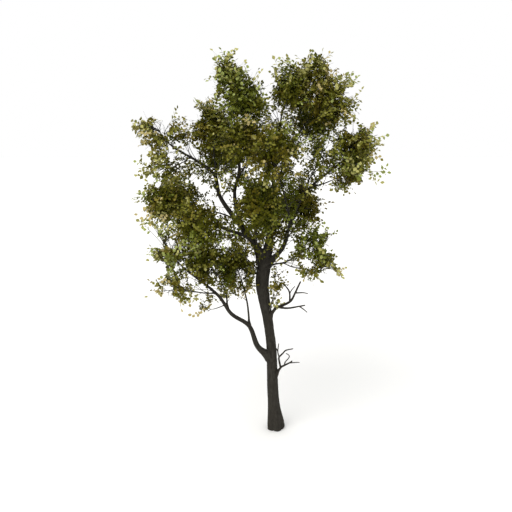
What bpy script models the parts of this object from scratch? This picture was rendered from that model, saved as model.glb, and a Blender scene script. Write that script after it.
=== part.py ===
"""Ironwood tree: a leaning trunk, tapering boughs and masses of leafy twigs.

Lengths are in metres and +Z is up.  The origin is the middle of the trunk's flat
cut at ground level.  The trunk runs up whole through the crown.  Every bough is one
tapering limb that starts on its parent and ends where it enters a mass of foliage.
Every mass grows from one stem by one seeded rule and keeps to its own space.
"""
import math

import bmesh
import bpy
import numpy as np

# ---------------------------------------------------------------- driving sizes
SEED = 41
FIT_GAP = 0.0003                 # clear gap between pieces that meet
RING_STEP = 0.28                 # distance between a bough's rings
BOUGH_SIDES = 6
TWIG_SIDES = 3
DEAD_SIDES = 5
DEAD_STEP = 0.20
DEAD_TAPER = 1.2
DEAD_ROOM = 0.016                # leaves keep this much clear of its middle line

TRUNK_SIDES = 18
TRUNK_RINGS = 22
TRUNK_TIP_RADIUS = 0.020
FLARE_SWELL = 0.057              # extra radius of the root flare at the ground
FLARE_HEIGHT = 0.50
FLARE_LOBES = 5
LOBE_DEPTH = 0.13                # share of the radius
LOBE_TURN = math.radians(70.0)
COLLAR_SWELL = 0.30              # swelling where a bough leaves its parent
COLLAR_LENGTH = 1.6              # in root radii
BOUGH_TAPER = 0.8

SPRAY_SHARE = 0.80               # one blade stands for a spray: length for a mass's size
SPRAY_LENGTHS = (0.22, 0.52)     # shortest and longest
SPRAY_WIDTH = 0.66               # share of its length
SPRAY_THICKNESS = 0.04           # share of its length
SPRAY_SHOULDER = 0.46            # where along its length it is widest
SPRAY_ANGLE = math.radians(56.0)
SPRAY_SPACING = 0.36             # share of the twig between one blade and the next
SPRAY_LOOSENESS = 0.30
FIRST_LOOSENESS = 0.4            # share of that looseness at the first try
LOOSENING = 0.12                 # how much looser each further try is
SPRAY_CLEAR = 0.030              # between the blades of one mass
SPRAY_CHECK_FROM = 0.15          # share of a blade where its clearance counts
SPRAY_CHECK_ROWS = 9
TWIG_CHECK_STEP = 0.03
END_SPRAY_SINK = 0.25            # share of the twig end's radius, back from its end
SPRAY_ROOT_SINK = 0.45           # share of the twig's radius, past its middle
SPRAY_SIZE_SPREAD = (0.88, 1.10)
SPRAY_SHRINK = 0.018             # how much smaller each further try is
SPRAY_UPTURN = 0.8               # how strongly blades face the sky
SPRAYS_PER_TWIG = 3
TWIGS_PER_MASS = 5
TWIG_RINGS = 2
STEM_RINGS = 3
TWIG_ROOT_RADIUS = 0.012
TWIG_END_RADIUS = 0.008
TWIG_REACH = 0.56                # share of the mass's radius that twigs grow to
TWIG_REACH_SPREAD = (0.88, 1.08)
TWIG_FIRST_AT = 0.30             # share of the stem where the lowest twig leaves
TWIG_LAST_AT = 0.96
TWIG_LOWEST_RISE = -0.84         # how far back the lowest twig points
FIRST_TWIG_LAG = 0.4             # share of one step that the first twig leans off
TWIG_PULL = 0.40                 # how long a twig keeps its first heading
TWIG_SHORTENINGS = 6
TWIG_SHORTENING = 0.85
STEM_PULL = 0.45
STEM_PAST_MIDDLE = 0.22          # share of the mass's radius
STEM_SHARE = 0.92                # stem's radius as a share of its bough's tip
SPACE_MARGIN = 0.006             # from the edge of a mass's space
LIMB_MARGIN = 0.022              # from the bark of any limb
PLACING_TRIES = 26
CORE_SHARE = 0.44                # share of a dense mass's half sizes
CORE_SMALLEST = 0.22
CORE_SHRINK = 0.03
CORE_ROUGHNESS = 0.16            # share by which its corners differ
WALL_REACH = 1.6                 # neighbours farther apart than this need no wall
BALL_STEP = 0.02                 # between the balls that stand for a limb
LINE_CUTS = 24                   # fine cuts between two stops of a line
SHARP_ANGLE = math.radians(50.0)
GOLDEN_ANGLE = math.pi * (3.0 - math.sqrt(5.0))

# Materials: name, base colour and roughness.
BARK = ("bark", (0.068, 0.060, 0.047), 0.88)
DEAD_BARK = ("dead_wood", (0.092, 0.082, 0.068), 0.92)
LEAF_GREEN = ("leaf_green", (0.085, 0.098, 0.020), 0.60)
LEAF_OLIVE = ("leaf_olive", (0.125, 0.115, 0.026), 0.60)
LEAF_AMBER = ("leaf_amber", (0.205, 0.130, 0.030), 0.62)

# The trunk's middle line, and its radius at some heights without the flare.
TRUNK_LINE = (
    (0.00, 0.00, 0.00), (-0.07, 0.00, 0.80), (-0.10, 0.00, 1.50), (-0.13, 0.02, 2.20),
    (-0.22, 0.05, 2.90), (-0.34, 0.05, 3.65), (-0.31, 0.03, 4.15), (-0.18, 0.02, 4.85),
    (-0.13, 0.08, 5.75), (-0.05, 0.10, 6.65), (0.05, 0.12, 7.50),
)
TRUNK_RADII = (
    (0.0, 0.142), (0.8, 0.138), (1.3, 0.135), (1.8, 0.127), (2.3, 0.118), (2.9, 0.119),
    (3.3, 0.132), (3.7, 0.153), (4.1, 0.165), (4.8, 0.096), (5.6, 0.050), (6.5, 0.032), (7.5, TRUNK_TIP_RADIUS),
)

# name: parent, height at which it leaves, radius there, tip radius, stops to its tip
BOUGHS = {
    "bough_low_left": ("trunk", 1.84, 0.076, 0.022, (
        (-0.45, -0.08, 2.21), (-0.66, -0.15, 2.77), (-1.07, -0.28, 3.12),
        (-1.39, -0.38, 3.63), (-2.10, -0.38, 4.23))),
    "bough_low_left_riser": ("bough_low_left", 3.25, 0.024, 0.014, (
        (-1.20, -0.20, 3.62), (-1.36, -0.16, 3.98))),
    "bough_low_left_upright": ("bough_low_left", 2.75, 0.028, 0.015, (
        (-0.70, -0.02, 3.28), (-0.82, 0.12, 3.76))),
    "bough_low_left_side": ("bough_low_left", 3.66, 0.020, 0.012, (
        (-1.66, -0.56, 3.72), (-1.98, -0.58, 3.78))),
    "bough_low_left_droop": ("bough_low_left", 3.36, 0.014, 0.009, (
        (-1.34, -0.48, 3.35), (-1.48, -0.50, 3.31))),
    "bough_left_rise": ("trunk", 4.18, 0.085, 0.022, (
        (-0.59, 0.20, 4.77), (-0.96, 0.30, 5.23), (-1.33, 0.40, 5.76),
        (-1.52, 0.42, 6.35), (-2.35, 0.40, 6.88))),
    "bough_upper_left_low": ("bough_left_rise", 6.68, 0.016, 0.011, (
        (-2.12, 0.24, 6.60), (-2.24, 0.20, 6.54))),
    "bough_high_left": ("bough_left_rise", 6.20, 0.026, 0.014, (
        (-1.44, 0.50, 6.55), (-1.48, 0.54, 6.86))),
    "bough_right_rise": ("trunk", 4.10, 0.062, 0.020, (
        (0.12, -0.15, 4.69), (0.27, -0.20, 5.22), (0.62, -0.20, 5.97),
        (1.42, -0.16, 6.66))),
    "bough_left_level": ("trunk", 4.40, 0.060, 0.023, (
        (-0.66, -0.30, 4.94), (-1.18, -0.60, 5.22), (-2.00, -0.70, 5.60))),
    "bough_left_mid": ("bough_left_level", 5.06, 0.024, 0.014, (
        (-1.12, -0.78, 5.12), (-1.40, -1.00, 5.20))),
    "bough_inner_left": ("bough_left_rise", 4.98, 0.055, 0.019, (
        (-0.90, -0.02, 5.40), (-0.97, -0.25, 5.98), (-0.86, -0.30, 6.60),
        (-1.02, -0.17, 7.95))),
    "bough_top_left": ("bough_inner_left", 6.95, 0.018, 0.012, (
        (-0.74, -0.40, 7.20), (-0.66, -0.42, 7.44))),
    "bough_high_front": ("bough_inner_left", 6.05, 0.024, 0.014, (
        (-0.90, -0.48, 6.30), (-0.74, -0.66, 6.58))),
    "bough_front": ("bough_right_rise", 4.86, 0.032, 0.015, (
        (0.24, -0.55, 5.40), (0.12, -0.98, 5.95), (-0.02, -1.30, 6.48))),
    "bough_back": ("trunk", 4.95, 0.036, 0.016, (
        (-0.34, 0.46, 5.45), (-0.70, 0.92, 5.85), (-1.02, 1.26, 6.12))),
    "bough_back_left": ("bough_left_rise", 4.70, 0.034, 0.016, (
        (-0.74, 0.55, 4.98), (-1.16, 0.98, 5.18), (-1.74, 1.24, 5.30))),
    "bough_mid_front": ("bough_left_level", 4.70, 0.026, 0.015, (
        (-0.50, -0.48, 5.02), (-0.47, -0.84, 5.52))),
    "bough_mid_back": ("trunk", 4.56, 0.030, 0.016, (
        (-0.20, 0.36, 4.84), (-0.15, 0.72, 5.08))),
    "bough_right_arm_low": ("bough_right_rise", 6.08, 0.020, 0.012, (
        (0.98, -0.36, 6.18), (1.16, -0.40, 6.26))),
    "bough_right_inner": ("bough_right_rise", 5.72, 0.018, 0.011, (
        (0.58, -0.40, 6.10), (0.74, -0.44, 6.42))),
    "bough_mid_right": ("bough_right_rise", 4.72, 0.022, 0.013, (
        (0.26, 0.06, 4.90), (0.44, 0.20, 5.08))),
    "bough_right_low": ("trunk", 4.10, 0.025, 0.014, (
        (-0.08, -0.26, 4.31), (0.18, -0.40, 4.41), (0.50, -0.56, 4.66))),
    "bough_left_slender": ("trunk", 3.96, 0.023, 0.010, (
        (-0.50, -0.12, 4.20), (-0.70, -0.20, 4.42), (-0.88, -0.26, 4.60))),
    "bough_right_low_outer": ("bough_right_low", 4.38, 0.014, 0.009, (
        (0.32, -0.58, 4.34), (0.58, -0.70, 4.33))),
    "bough_leader_right": ("trunk", 5.85, 0.034, 0.016, (
        (0.12, 0.30, 6.45), (0.32, 0.40, 6.95), (0.66, 0.30, 7.50))),
    "bough_peak": ("bough_leader_right", 6.95, 0.016, 0.010, (
        (0.42, 0.54, 7.45), (0.70, 0.46, 8.14))),
    "bough_back_right": ("bough_leader_right", 6.45, 0.020, 0.012, (
        (0.28, 0.62, 6.72), (0.42, 0.84, 6.95))),
}

# name: limb that carries it, middle of its space, half sizes of its space
MASSES = {
    "foliage_spire": ("bough_inner_left", (-1.12, -0.10, 8.42), (0.47, 0.48, 0.62)),
    "foliage_top_left": ("bough_top_left", (-0.64, -0.44, 7.93), (0.62, 0.63, 0.67)),
    "foliage_top_middle": ("trunk", (0.30, 0.20, 8.16), (0.57, 0.63, 0.72)),
    "foliage_top_right": ("bough_leader_right", (1.10, 0.02, 7.90), (0.76, 0.69, 0.71)),
    "foliage_peak": ("bough_peak", (0.81, 0.42, 8.53), (0.51, 0.53, 0.54)),
    "foliage_back_right": ("bough_back_right", (0.93, 1.16, 7.45), (0.72, 0.69, 0.67)),
    "foliage_right_arm": ("bough_right_rise", (1.75, -0.10, 6.96), (0.65, 0.63, 0.50)),
    "foliage_right_arm_low": ("bough_right_arm_low", (1.63, -0.46, 6.38), (0.72, 0.57, 0.41)),
    "foliage_right_inner": ("bough_right_inner", (0.88, -0.46, 6.78), (0.50, 0.61, 0.51)),
    "foliage_upper_left": ("bough_left_rise", (-2.63, 0.40, 7.22), (0.80, 0.63, 0.50)),
    "foliage_upper_left_low": ("bough_upper_left_low", (-2.53, 0.16, 6.46), (0.70, 0.57, 0.39)),
    "foliage_high_left": ("bough_high_left", (-1.53, 0.58, 7.23), (0.60, 0.63, 0.72)),
    "foliage_high_front": ("bough_high_front", (-0.75, -0.86, 7.06), (0.63, 0.65, 0.61)),
    "foliage_front": ("bough_front", (-0.14, -1.60, 6.98), (0.61, 0.69, 0.61)),
    "foliage_back": ("bough_back", (-1.34, 1.62, 6.62), (0.77, 0.71, 0.73)),
    "foliage_left_high": ("bough_left_level", (-2.51, -0.68, 5.85), (0.77, 0.63, 0.50)),
    "foliage_left_mid": ("bough_left_mid", (-1.70, -1.16, 5.38), (0.77, 0.63, 0.50)),
    "foliage_back_left": ("bough_back_left", (-2.32, 1.38, 5.50), (0.77, 0.69, 0.66)),
    "foliage_low_left_outer": ("bough_low_left", (-2.42, -0.30, 4.59), (0.58, 0.55, 0.45)),
    "foliage_low_left": ("bough_low_left_riser", (-1.67, -0.14, 4.33), (0.71, 0.61, 0.68)),
    "foliage_low_left_inner": ("bough_low_left_upright", (-0.97, 0.24, 4.08), (0.62, 0.57, 0.69)),
    "foliage_low_left_tip": ("bough_low_left_side", (-2.28, -0.62, 3.81), (0.59, 0.48, 0.34)),
    "foliage_hanging": ("bough_low_left_droop", (-1.61, -0.54, 3.35), (0.36, 0.36, 0.31)),
    "foliage_mid_front": ("bough_mid_front", (-0.44, -1.16, 5.83), (0.67, 0.65, 0.66)),
    "foliage_mid_back": ("bough_mid_back", (-0.20, 1.16, 5.25), (0.82, 0.71, 0.73)),
    "foliage_mid_right": ("bough_mid_right", (0.62, 0.36, 5.57), (0.64, 0.61, 0.66)),
    "foliage_right_low": ("bough_right_low", (0.83, -0.68, 4.90), (0.57, 0.53, 0.39)),
    "foliage_right_low_tip": ("bough_right_low_outer", (0.96, -0.80, 4.36), (0.58, 0.46, 0.30)),
}

# Masses dense enough to have a core that their twigs stand out of.
DENSE_MASSES = (
    "foliage_top_left", "foliage_top_middle", "foliage_top_right", "foliage_peak",
    "foliage_back_right", "foliage_right_arm", "foliage_high_left", "foliage_high_front",
    "foliage_front", "foliage_back", "foliage_left_high", "foliage_left_mid",
    "foliage_back_left", "foliage_low_left", "foliage_low_left_inner",
    "foliage_mid_front", "foliage_mid_back", "foliage_mid_right",
)

# Masses that have begun to turn; the rest are green.
OLIVE_MASSES = (
    "foliage_spire", "foliage_top_middle", "foliage_high_left", "foliage_right_arm_low",
    "foliage_right_inner", "foliage_upper_left", "foliage_upper_left_low",
    "foliage_left_mid", "foliage_low_left_outer", "foliage_peak", "foliage_back",
)
AMBER_MASSES = (
    "foliage_top_right", "foliage_right_arm", "foliage_high_front", "foliage_front",
    "foliage_left_high", "foliage_mid_right", "foliage_low_left_tip",
    "foliage_trunk_sprig", "foliage_hanging",
)

# A sprig that grows from the side of the trunk on its own bent stem.
SPRIG_NAME = "foliage_trunk_sprig"
SPRIG_SPACE = ((-0.02, -0.20, 3.82), (0.26, 0.26, 0.50))
SPRIG_LEAVES_AT = 2.95
SPRIG_STEM = ((-0.12, -0.15, 3.28), (-0.11, -0.18, 3.62), (-0.05, -0.20, 3.94))
SPRIG_RADIUS = 0.018
SPRIG_STEP = 0.26
SPRIG_TWIGS = 3

# Bare dead wood.  name: height at which it leaves the trunk, root radius, branches.
# Each branch is its root radius, its tip radius and its stops.
DEAD_WOOD = {
    "dead_limb": (2.80, (
        (0.038, 0.015, ((-0.10, -0.07, 3.08), (0.00, -0.07, 3.20), (0.15, -0.10, 3.27),
                        (0.32, -0.14, 3.39), (0.42, -0.15, 3.59), (0.48, -0.15, 3.73),
                        (0.54, -0.16, 3.87))),
        (0.021, 0.010, ((0.29, -0.13, 3.37), (0.29, -0.11, 3.58), (0.22, -0.10, 3.71),
                        (0.13, -0.08, 3.79))),
        (0.024, 0.011, ((0.01, -0.07, 3.20), (0.25, -0.20, 3.23), (0.51, -0.30, 3.31),
                        (0.64, -0.34, 3.35))),
        (0.013, 0.007, ((0.51, -0.30, 3.30), (0.61, -0.34, 3.25), (0.69, -0.38, 3.19))),
        (0.015, 0.007, ((0.42, -0.15, 3.58), (0.60, -0.20, 3.61), (0.71, -0.24, 3.60))),
        (0.011, 0.006, ((0.29, -0.11, 3.56), (0.35, -0.08, 3.65), (0.42, -0.05, 3.72))),
    )),
    "dead_twig": (1.36, (
        (0.031, 0.012, ((-0.02, -0.02, 1.42), (0.10, -0.10, 1.67), (0.19, -0.14, 1.75),
                        (0.30, -0.20, 1.84), (0.37, -0.22, 1.90))),
        (0.023, 0.009, ((0.10, -0.10, 1.67), (0.07, -0.10, 1.82), (0.06, -0.10, 1.94),
                        (0.15, -0.11, 2.05), (0.22, -0.12, 2.13), (0.39, -0.16, 2.19))),
        (0.014, 0.007, ((0.06, -0.10, 1.94), (0.03, -0.08, 2.08), (0.05, -0.06, 2.28))),
        (0.011, 0.006, ((0.03, -0.08, 2.07), (-0.02, -0.06, 2.19))),
        (0.012, 0.006, ((0.30, -0.20, 1.84), (0.45, -0.26, 1.88), (0.54, -0.30, 1.90))),
        (0.013, 0.007, ((0.19, -0.14, 1.75), (0.21, -0.11, 1.82), (0.30, -0.07, 1.92),
                        (0.30, -0.05, 1.97), (0.23, -0.04, 2.02))),
    )),
}


# ------------------------------------------------------------ lines and frames
def unit(vector):
    """The vector at length one."""
    return vector / np.linalg.norm(vector)


def smooth_line(stops, step):
    """A smooth line through the stops, in equal lengths of about `step`."""
    stops = np.asarray(stops, dtype=float)
    before = 2.0 * stops[0] - stops[1]
    after = 2.0 * stops[-1] - stops[-2]
    knots = np.vstack((before, stops, after))
    share = np.linspace(0.0, 1.0, LINE_CUTS, endpoint=False)[:, None]
    runs = []
    for a, b, c, d in zip(knots, knots[1:], knots[2:], knots[3:]):
        linear = (c - a) * share
        square = (2.0 * a - 5.0 * b + 4.0 * c - d) * share ** 2
        cube = (3.0 * b - a - 3.0 * c + d) * share ** 3
        runs.append(0.5 * (2.0 * b + linear + square + cube))
    fine = np.vstack(runs + [stops[-1:]])
    along = np.concatenate(([0.0], np.cumsum(np.linalg.norm(np.diff(fine, axis=0), axis=1))))
    count = max(3, int(round(along[-1] / step)) + 1)
    cuts = np.linspace(0.0, along[-1], count)
    return np.column_stack([np.interp(cuts, along, fine[:, axis]) for axis in range(3)])


def lengths_along(line):
    """Distance from the line's start to each of its points."""
    return np.concatenate(([0.0], np.cumsum(np.linalg.norm(np.diff(line, axis=0), axis=1))))


def point_at(line, share):
    """The point at a share of the line's length, and the line's direction there."""
    along = lengths_along(line)
    here = share * along[-1]
    near = int(np.clip(np.searchsorted(along, here) - 1, 0, len(line) - 2))
    point = np.array([np.interp(here, along, line[:, axis]) for axis in range(3)])
    return point, unit(line[near + 1] - line[near])


def point_at_height(line, height):
    """The first point of the line that lies at a height."""
    above = np.nonzero(line[:, 2] >= height)[0]
    last = int(above[0]) if len(above) else len(line) - 1
    last = max(last, 1)
    low, high = line[last - 1], line[last]
    share = np.clip((height - low[2]) / (high[2] - low[2]), 0.0, 1.0)
    return low + share * (high - low)


def frames(line, heading=None):
    """Direction, side and second side at every point, carried on without twist."""
    ahead = np.gradient(line, axis=0)
    if heading is not None:
        ahead[0] = heading
    ahead /= np.linalg.norm(ahead, axis=1)[:, None]
    start = np.array((1.0, 0.0, 0.0))
    if abs(ahead[0, 0]) > 0.9:
        start = np.array((0.0, 1.0, 0.0))
    sides = np.empty_like(line)
    for row, direction in enumerate(ahead):
        start = unit(start - direction * np.dot(start, direction))
        sides[row] = start
    return ahead, sides, np.cross(ahead, sides)


# ------------------------------------------------------------------- meshes
def material(spec):
    """A Principled material from its name, base colour and roughness."""
    name, colour, roughness = spec
    made = bpy.data.materials.get(name)
    if made is None:
        made = bpy.data.materials.new(name)
        made.use_nodes = True
        shader = made.node_tree.nodes["Principled BSDF"]
        shader.inputs["Base Color"].default_value = (*colour, 1.0)
        shader.inputs["Roughness"].default_value = roughness
        shader.inputs["Metallic"].default_value = 0.0
        made.diffuse_color = (*colour, 1.0)
    return made


def mesh_object(name, points, faces, spec, collection=None):
    """An object of its own mesh, with every face pointing out."""
    shell = bmesh.new()
    corners = [shell.verts.new(point) for point in points]
    for face in faces:
        shell.faces.new([corners[corner] for corner in face])
    bmesh.ops.recalc_face_normals(shell, faces=shell.faces)
    mesh = bpy.data.meshes.new(name)
    shell.to_mesh(mesh)
    shell.free()
    mesh.materials.append(material(spec))
    made = bpy.data.objects.new(name, mesh)
    (collection or bpy.context.scene.collection).objects.link(made)
    return made


def tube_shape(line, radii, sides, level_foot=False, heading=None):
    """Points and faces of a closed tube round a line; radii may differ round a ring."""
    _, side, other = frames(line, heading)
    turn = 2.0 * math.pi * np.arange(sides) / sides
    radii = np.asarray(radii, dtype=float)
    if radii.ndim == 1:
        radii = np.repeat(radii[:, None], sides, axis=1)
    spread = (np.cos(turn)[None, :, None] * side[:, None, :]
              + np.sin(turn)[None, :, None] * other[:, None, :])
    points = line[:, None, :] + radii[:, :, None] * spread
    if level_foot:
        points[0, :, 2] = line[0, 2]
    faces = [tuple(range(sides))[::-1]]
    for ring in range(len(line) - 1):
        low, high = ring * sides, (ring + 1) * sides
        for step in range(sides):
            after = (step + 1) % sides
            faces.append((low + step, low + after, high + after, high + step))
    last = (len(line) - 1) * sides
    faces.append(tuple(range(last, last + sides)))
    return points.reshape(-1, 3), faces


def spray_shape(root, axis, facing, length):
    """Points and faces of one blade: a flat lozenge of eight faces with a full rib."""
    facing = unit(facing - axis * np.dot(facing, axis))
    across = np.cross(facing, axis)
    shoulder = root + axis * length * SPRAY_SHOULDER
    half_width = 0.5 * SPRAY_WIDTH * length
    half_thick = 0.5 * SPRAY_THICKNESS * length
    points = np.array((
        root, root + axis * length,
        shoulder + across * half_width, shoulder - across * half_width,
        shoulder + facing * half_thick, shoulder - facing * half_thick,
    ))
    faces = [(0, 2, 4), (2, 1, 4), (1, 3, 4), (3, 0, 4),
             (2, 0, 5), (1, 2, 5), (3, 1, 5), (0, 3, 5)]
    return points, faces


# ------------------------------------------------------------ boolean joining
def evaluated_mesh(target):
    """The target's mesh with its modifiers carried out."""
    graph = bpy.context.evaluated_depsgraph_get()
    return bpy.data.meshes.new_from_object(target.evaluated_get(graph))


def settle_modifiers(target):
    """Apply the target's modifiers to its own mesh."""
    done = evaluated_mesh(target)
    target.modifiers.clear()
    old = target.data
    target.data = done
    bpy.data.meshes.remove(old)


def keep_largest_body(target):
    """Keep the largest closed body: fill sealed hollows and drop loose scrap."""
    shell = bmesh.new()
    shell.from_mesh(target.data)
    unseen = set(shell.faces)
    bodies = []
    while unseen:
        body = [unseen.pop()]
        for face in body:
            for edge in face.edges:
                for near in edge.link_faces:
                    if near in unseen:
                        unseen.discard(near)
                        body.append(near)
        bodies.append(body)
    volumes = []
    for body in bodies:
        volume = 0.0
        for face in body:
            first = face.verts[0].co
            for left, right in zip(face.verts[1:], face.verts[2:]):
                volume += first.dot(left.co.cross(right.co)) / 6.0
        volumes.append(volume)
    keep = bodies[int(np.argmax(volumes))]
    drop = set(shell.faces) - set(keep)
    bmesh.ops.delete(shell, geom=list(drop), context="FACES")
    shell.to_mesh(target.data)
    shell.free()


def boolean(target, operation, operands, solver="EXACT"):
    """Join the target with a collection of operands, or cut it by them."""
    change = target.modifiers.new(operation.lower(), "BOOLEAN")
    change.operation = operation
    change.operand_type = "COLLECTION"
    change.collection = operands
    change.solver = solver
    settle_modifiers(target)
    for piece in list(operands.objects):
        mesh = piece.data
        bpy.data.objects.remove(piece)
        bpy.data.meshes.remove(mesh)
    bpy.data.collections.remove(operands)


def operand_collection(name):
    """A collection for cutters or for pieces that are about to be joined."""
    made = bpy.data.collections.new(name)
    bpy.context.scene.collection.children.link(made)
    return made


def smooth_shading(target):
    """Round pieces are smooth, with their caps' edges sharp."""
    target.data.shade_smooth()
    target.data.set_sharp_from_angle(angle=SHARP_ANGLE)


# --------------------------------------------------------------------- limbs
def trunk_radii(line, turn):
    """The trunk's radius at each point of its line and each angle round it."""
    heights, radii = zip(*TRUNK_RADII)
    height = line[:, 2]
    fade = np.exp(-(height / FLARE_HEIGHT) ** 2)
    plain = np.interp(height, heights, radii) + FLARE_SWELL * fade
    lobes = np.cos(FLARE_LOBES * (turn[None, :] - LOBE_TURN))
    return plain[:, None] * (1.0 + LOBE_DEPTH * fade[:, None] * lobes)


def bough_radii(line, root_radius, tip_radius, parent_radius):
    """An even taper, with a collar where the bough comes out of its parent."""
    along = lengths_along(line)
    taper = root_radius + (tip_radius - root_radius) * (along / along[-1]) ** BOUGH_TAPER
    out = np.maximum(along - parent_radius, 0.0) / (COLLAR_LENGTH * root_radius)
    return taper + COLLAR_SWELL * root_radius * np.exp(-out)


def radius_near(limb, point):
    """The limb's mean radius at the point of its line nearest to a point."""
    row = int(np.argmin(np.linalg.norm(limb["line"] - point, axis=1)))
    return float(np.mean(limb["radii"][row]))


def lay_out_limbs():
    """Middle line and radii of the trunk and of every bough, parents first."""
    line = smooth_line(TRUNK_LINE, TRUNK_LINE[-1][2] / (TRUNK_RINGS - 1))
    turn = 2.0 * math.pi * np.arange(TRUNK_SIDES) / TRUNK_SIDES
    limbs = {"trunk": {"line": line, "radii": trunk_radii(line, turn),
                       "sides": TRUNK_SIDES, "parent": None}}
    for name, (parent, height, root_radius, tip_radius, stops) in BOUGHS.items():
        start = point_at_height(limbs[parent]["line"], height)
        line = smooth_line((tuple(start),) + stops, RING_STEP)
        radii = bough_radii(line, root_radius, tip_radius, radius_near(limbs[parent], start))
        limbs[name] = {"line": line, "radii": radii, "sides": BOUGH_SIDES, "parent": parent}
    return limbs


def mean_radii(limb):
    """The limb's mean radius at each point of its line."""
    radii = np.asarray(limb["radii"])
    return radii if radii.ndim == 1 else radii.mean(axis=1)


def grown_radii(limb):
    """Radii that clear every facet of the limb by the fit gap."""
    return np.asarray(limb["radii"]) + FIT_GAP / math.cos(math.pi / limb["sides"])


def nearest_gap(first, second):
    """Least distance between the barks of two limbs, from their middle lines."""
    between = np.linalg.norm(first["line"][:, None, :] - second["line"][None, :, :], axis=2)
    return float(np.min(between - mean_radii(first)[:, None] - mean_radii(second)[None, :]))


def add_cutter(limb, name, cutters):
    """A limb's shape grown by the fit gap, to cut its neighbours with."""
    points, faces = tube_shape(limb["line"], grown_radii(limb), limb["sides"])
    cutter = mesh_object(name + "_cutter", points, faces, BARK, cutters)
    cutter.hide_render = True
    cutter.display_type = "WIRE"


def cut_by_trunk(target, limbs):
    """Cut a piece that starts inside the trunk clear of it."""
    cutters = operand_collection(target.name + "_cutters")
    add_cutter(limbs["trunk"], "trunk", cutters)
    boolean(target, "DIFFERENCE", cutters)
    keep_largest_body(target)


def build_limbs(limbs):
    """The trunk and the boughs, each bough cut clear of the limbs that it starts on."""
    for name, limb in limbs.items():
        points, faces = tube_shape(limb["line"], limb["radii"], limb["sides"],
                                   level_foot=limb["parent"] is None)
        made = mesh_object(name, points, faces, BARK)
        if limb["parent"] is not None:
            cutters = operand_collection(name + "_cutters")
            for other_name, other in limbs.items():
                if other_name == name:
                    break
                if other_name == limb["parent"] or nearest_gap(limb, other) < 0.0:
                    add_cutter(other, other_name, cutters)
            boolean(made, "DIFFERENCE", cutters)
            keep_largest_body(made)
        smooth_shading(made)


def nearest_point(lines, place):
    """The point of all the lines that lies nearest to a place."""
    points = np.vstack(lines)
    return points[int(np.argmin(np.linalg.norm(points - place, axis=1)))]


def build_dead_wood(name, limbs):
    """One bare dead limb: its branches joined in one piece and cut clear of the trunk."""
    height, branches = DEAD_WOOD[name]
    root = point_at_height(limbs["trunk"]["line"], height)
    parts = operand_collection(name + "_branches")
    lines = []
    for root_radius, tip_radius, stops in branches:
        if lines:
            root = nearest_point(lines, stops[0])
            stops = stops[1:]
        line = smooth_line((tuple(root),) + stops, DEAD_STEP)
        share = lengths_along(line) / lengths_along(line)[-1]
        radii = root_radius + (tip_radius - root_radius) * share ** DEAD_TAPER
        shape = tube_shape(line, radii, DEAD_SIDES)
        if lines:
            mesh_object(name + "_branch", *shape, DEAD_BARK, parts)
        else:
            made = mesh_object(name, *shape, DEAD_BARK)
        lines.append(line)
    boolean(made, "UNION", parts)
    cut_by_trunk(made, limbs)
    smooth_shading(made)
    return lines


# ------------------------------------------------------------------- foliage
class Space:
    """The room that one mass keeps to: an ellipsoid cut flat against its neighbours."""

    def __init__(self, middle, half_sizes):
        self.middle = np.array(middle)
        self.half_sizes = np.array(half_sizes)
        self.walls = []

    def radius_towards(self, direction):
        """Distance from the middle to the ellipsoid along a direction."""
        return 1.0 / np.linalg.norm(direction / self.half_sizes)

    def add_wall(self, other):
        """Keep clear of a neighbour, at a plane between the two ellipsoids."""
        apart = other.middle - self.middle
        distance = float(np.linalg.norm(apart))
        direction = apart / distance
        mine = self.radius_towards(direction)
        theirs = other.radius_towards(direction)
        if distance < WALL_REACH * (mine + theirs):
            wall = self.middle + direction * distance * mine / (mine + theirs)
            self.walls.append((wall, direction))

    def holds(self, points):
        """Whether all points lie inside, clear of its edge by the margin."""
        points = np.atleast_2d(points)
        room = self.half_sizes - SPACE_MARGIN
        if np.any(np.linalg.norm((points - self.middle) / room, axis=1) > 1.0):
            return False
        return all(np.all((points - wall) @ direction < -SPACE_MARGIN)
                   for wall, direction in self.walls)


class Wood:
    """All limbs and stems as rows of balls, to tell how near a point is to bark."""

    def __init__(self):
        self.balls = {}

    def add(self, name, line, radii):
        """Take a limb into account, as balls close together along its line."""
        along = lengths_along(line)
        cuts = np.linspace(0.0, along[-1], max(3, int(along[-1] / BALL_STEP)))
        places = np.column_stack([np.interp(cuts, along, line[:, k]) for k in range(3)])
        self.balls[name] = (places, np.interp(cuts, along, radii))

    def without(self, name):
        """The same wood without one limb or stem."""
        rest = Wood()
        rest.balls = {key: value for key, value in self.balls.items() if key != name}
        return rest

    def gap(self, points):
        """Least distance from the points to bark."""
        points = np.atleast_2d(points)
        least = np.inf
        for places, radii in self.balls.values():
            near = np.linalg.norm(points[:, None, :] - places[None, :, :], axis=2) - radii
            least = min(least, float(near.min()))
        return least


def least_distance(points, others):
    """Least distance from the points to any of some other sets of points."""
    least = np.inf
    for other in others:
        apart = np.linalg.norm(points[:, None, :] - other[None, :, :], axis=2)
        least = min(least, float(apart.min()))
    return least


def bend_line(start, heading, end, pull, count):
    """A curved line that leaves along a heading and ends at a point."""
    reach = np.linalg.norm(end - start)
    elbow = start + heading * reach * pull
    share = np.linspace(0.0, 1.0, count)[:, None]
    return (1.0 - share) ** 2 * start + 2.0 * (1.0 - share) * share * elbow + share ** 2 * end


def stem_line(limb, space):
    """The stem of a mass: on from its limb's tip, through the middle of its space."""
    tip = limb["line"][-1]
    heading = unit(limb["line"][-1] - limb["line"][-2])
    inward = unit(space.middle - tip)
    end = space.middle + inward * STEM_PAST_MIDDLE * space.radius_towards(inward)
    line = bend_line(tip + heading * FIT_GAP, heading, end, STEM_PULL, STEM_RINGS)
    return line, float(np.mean(limb["radii"][-1])) * STEM_SHARE, heading


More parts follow.
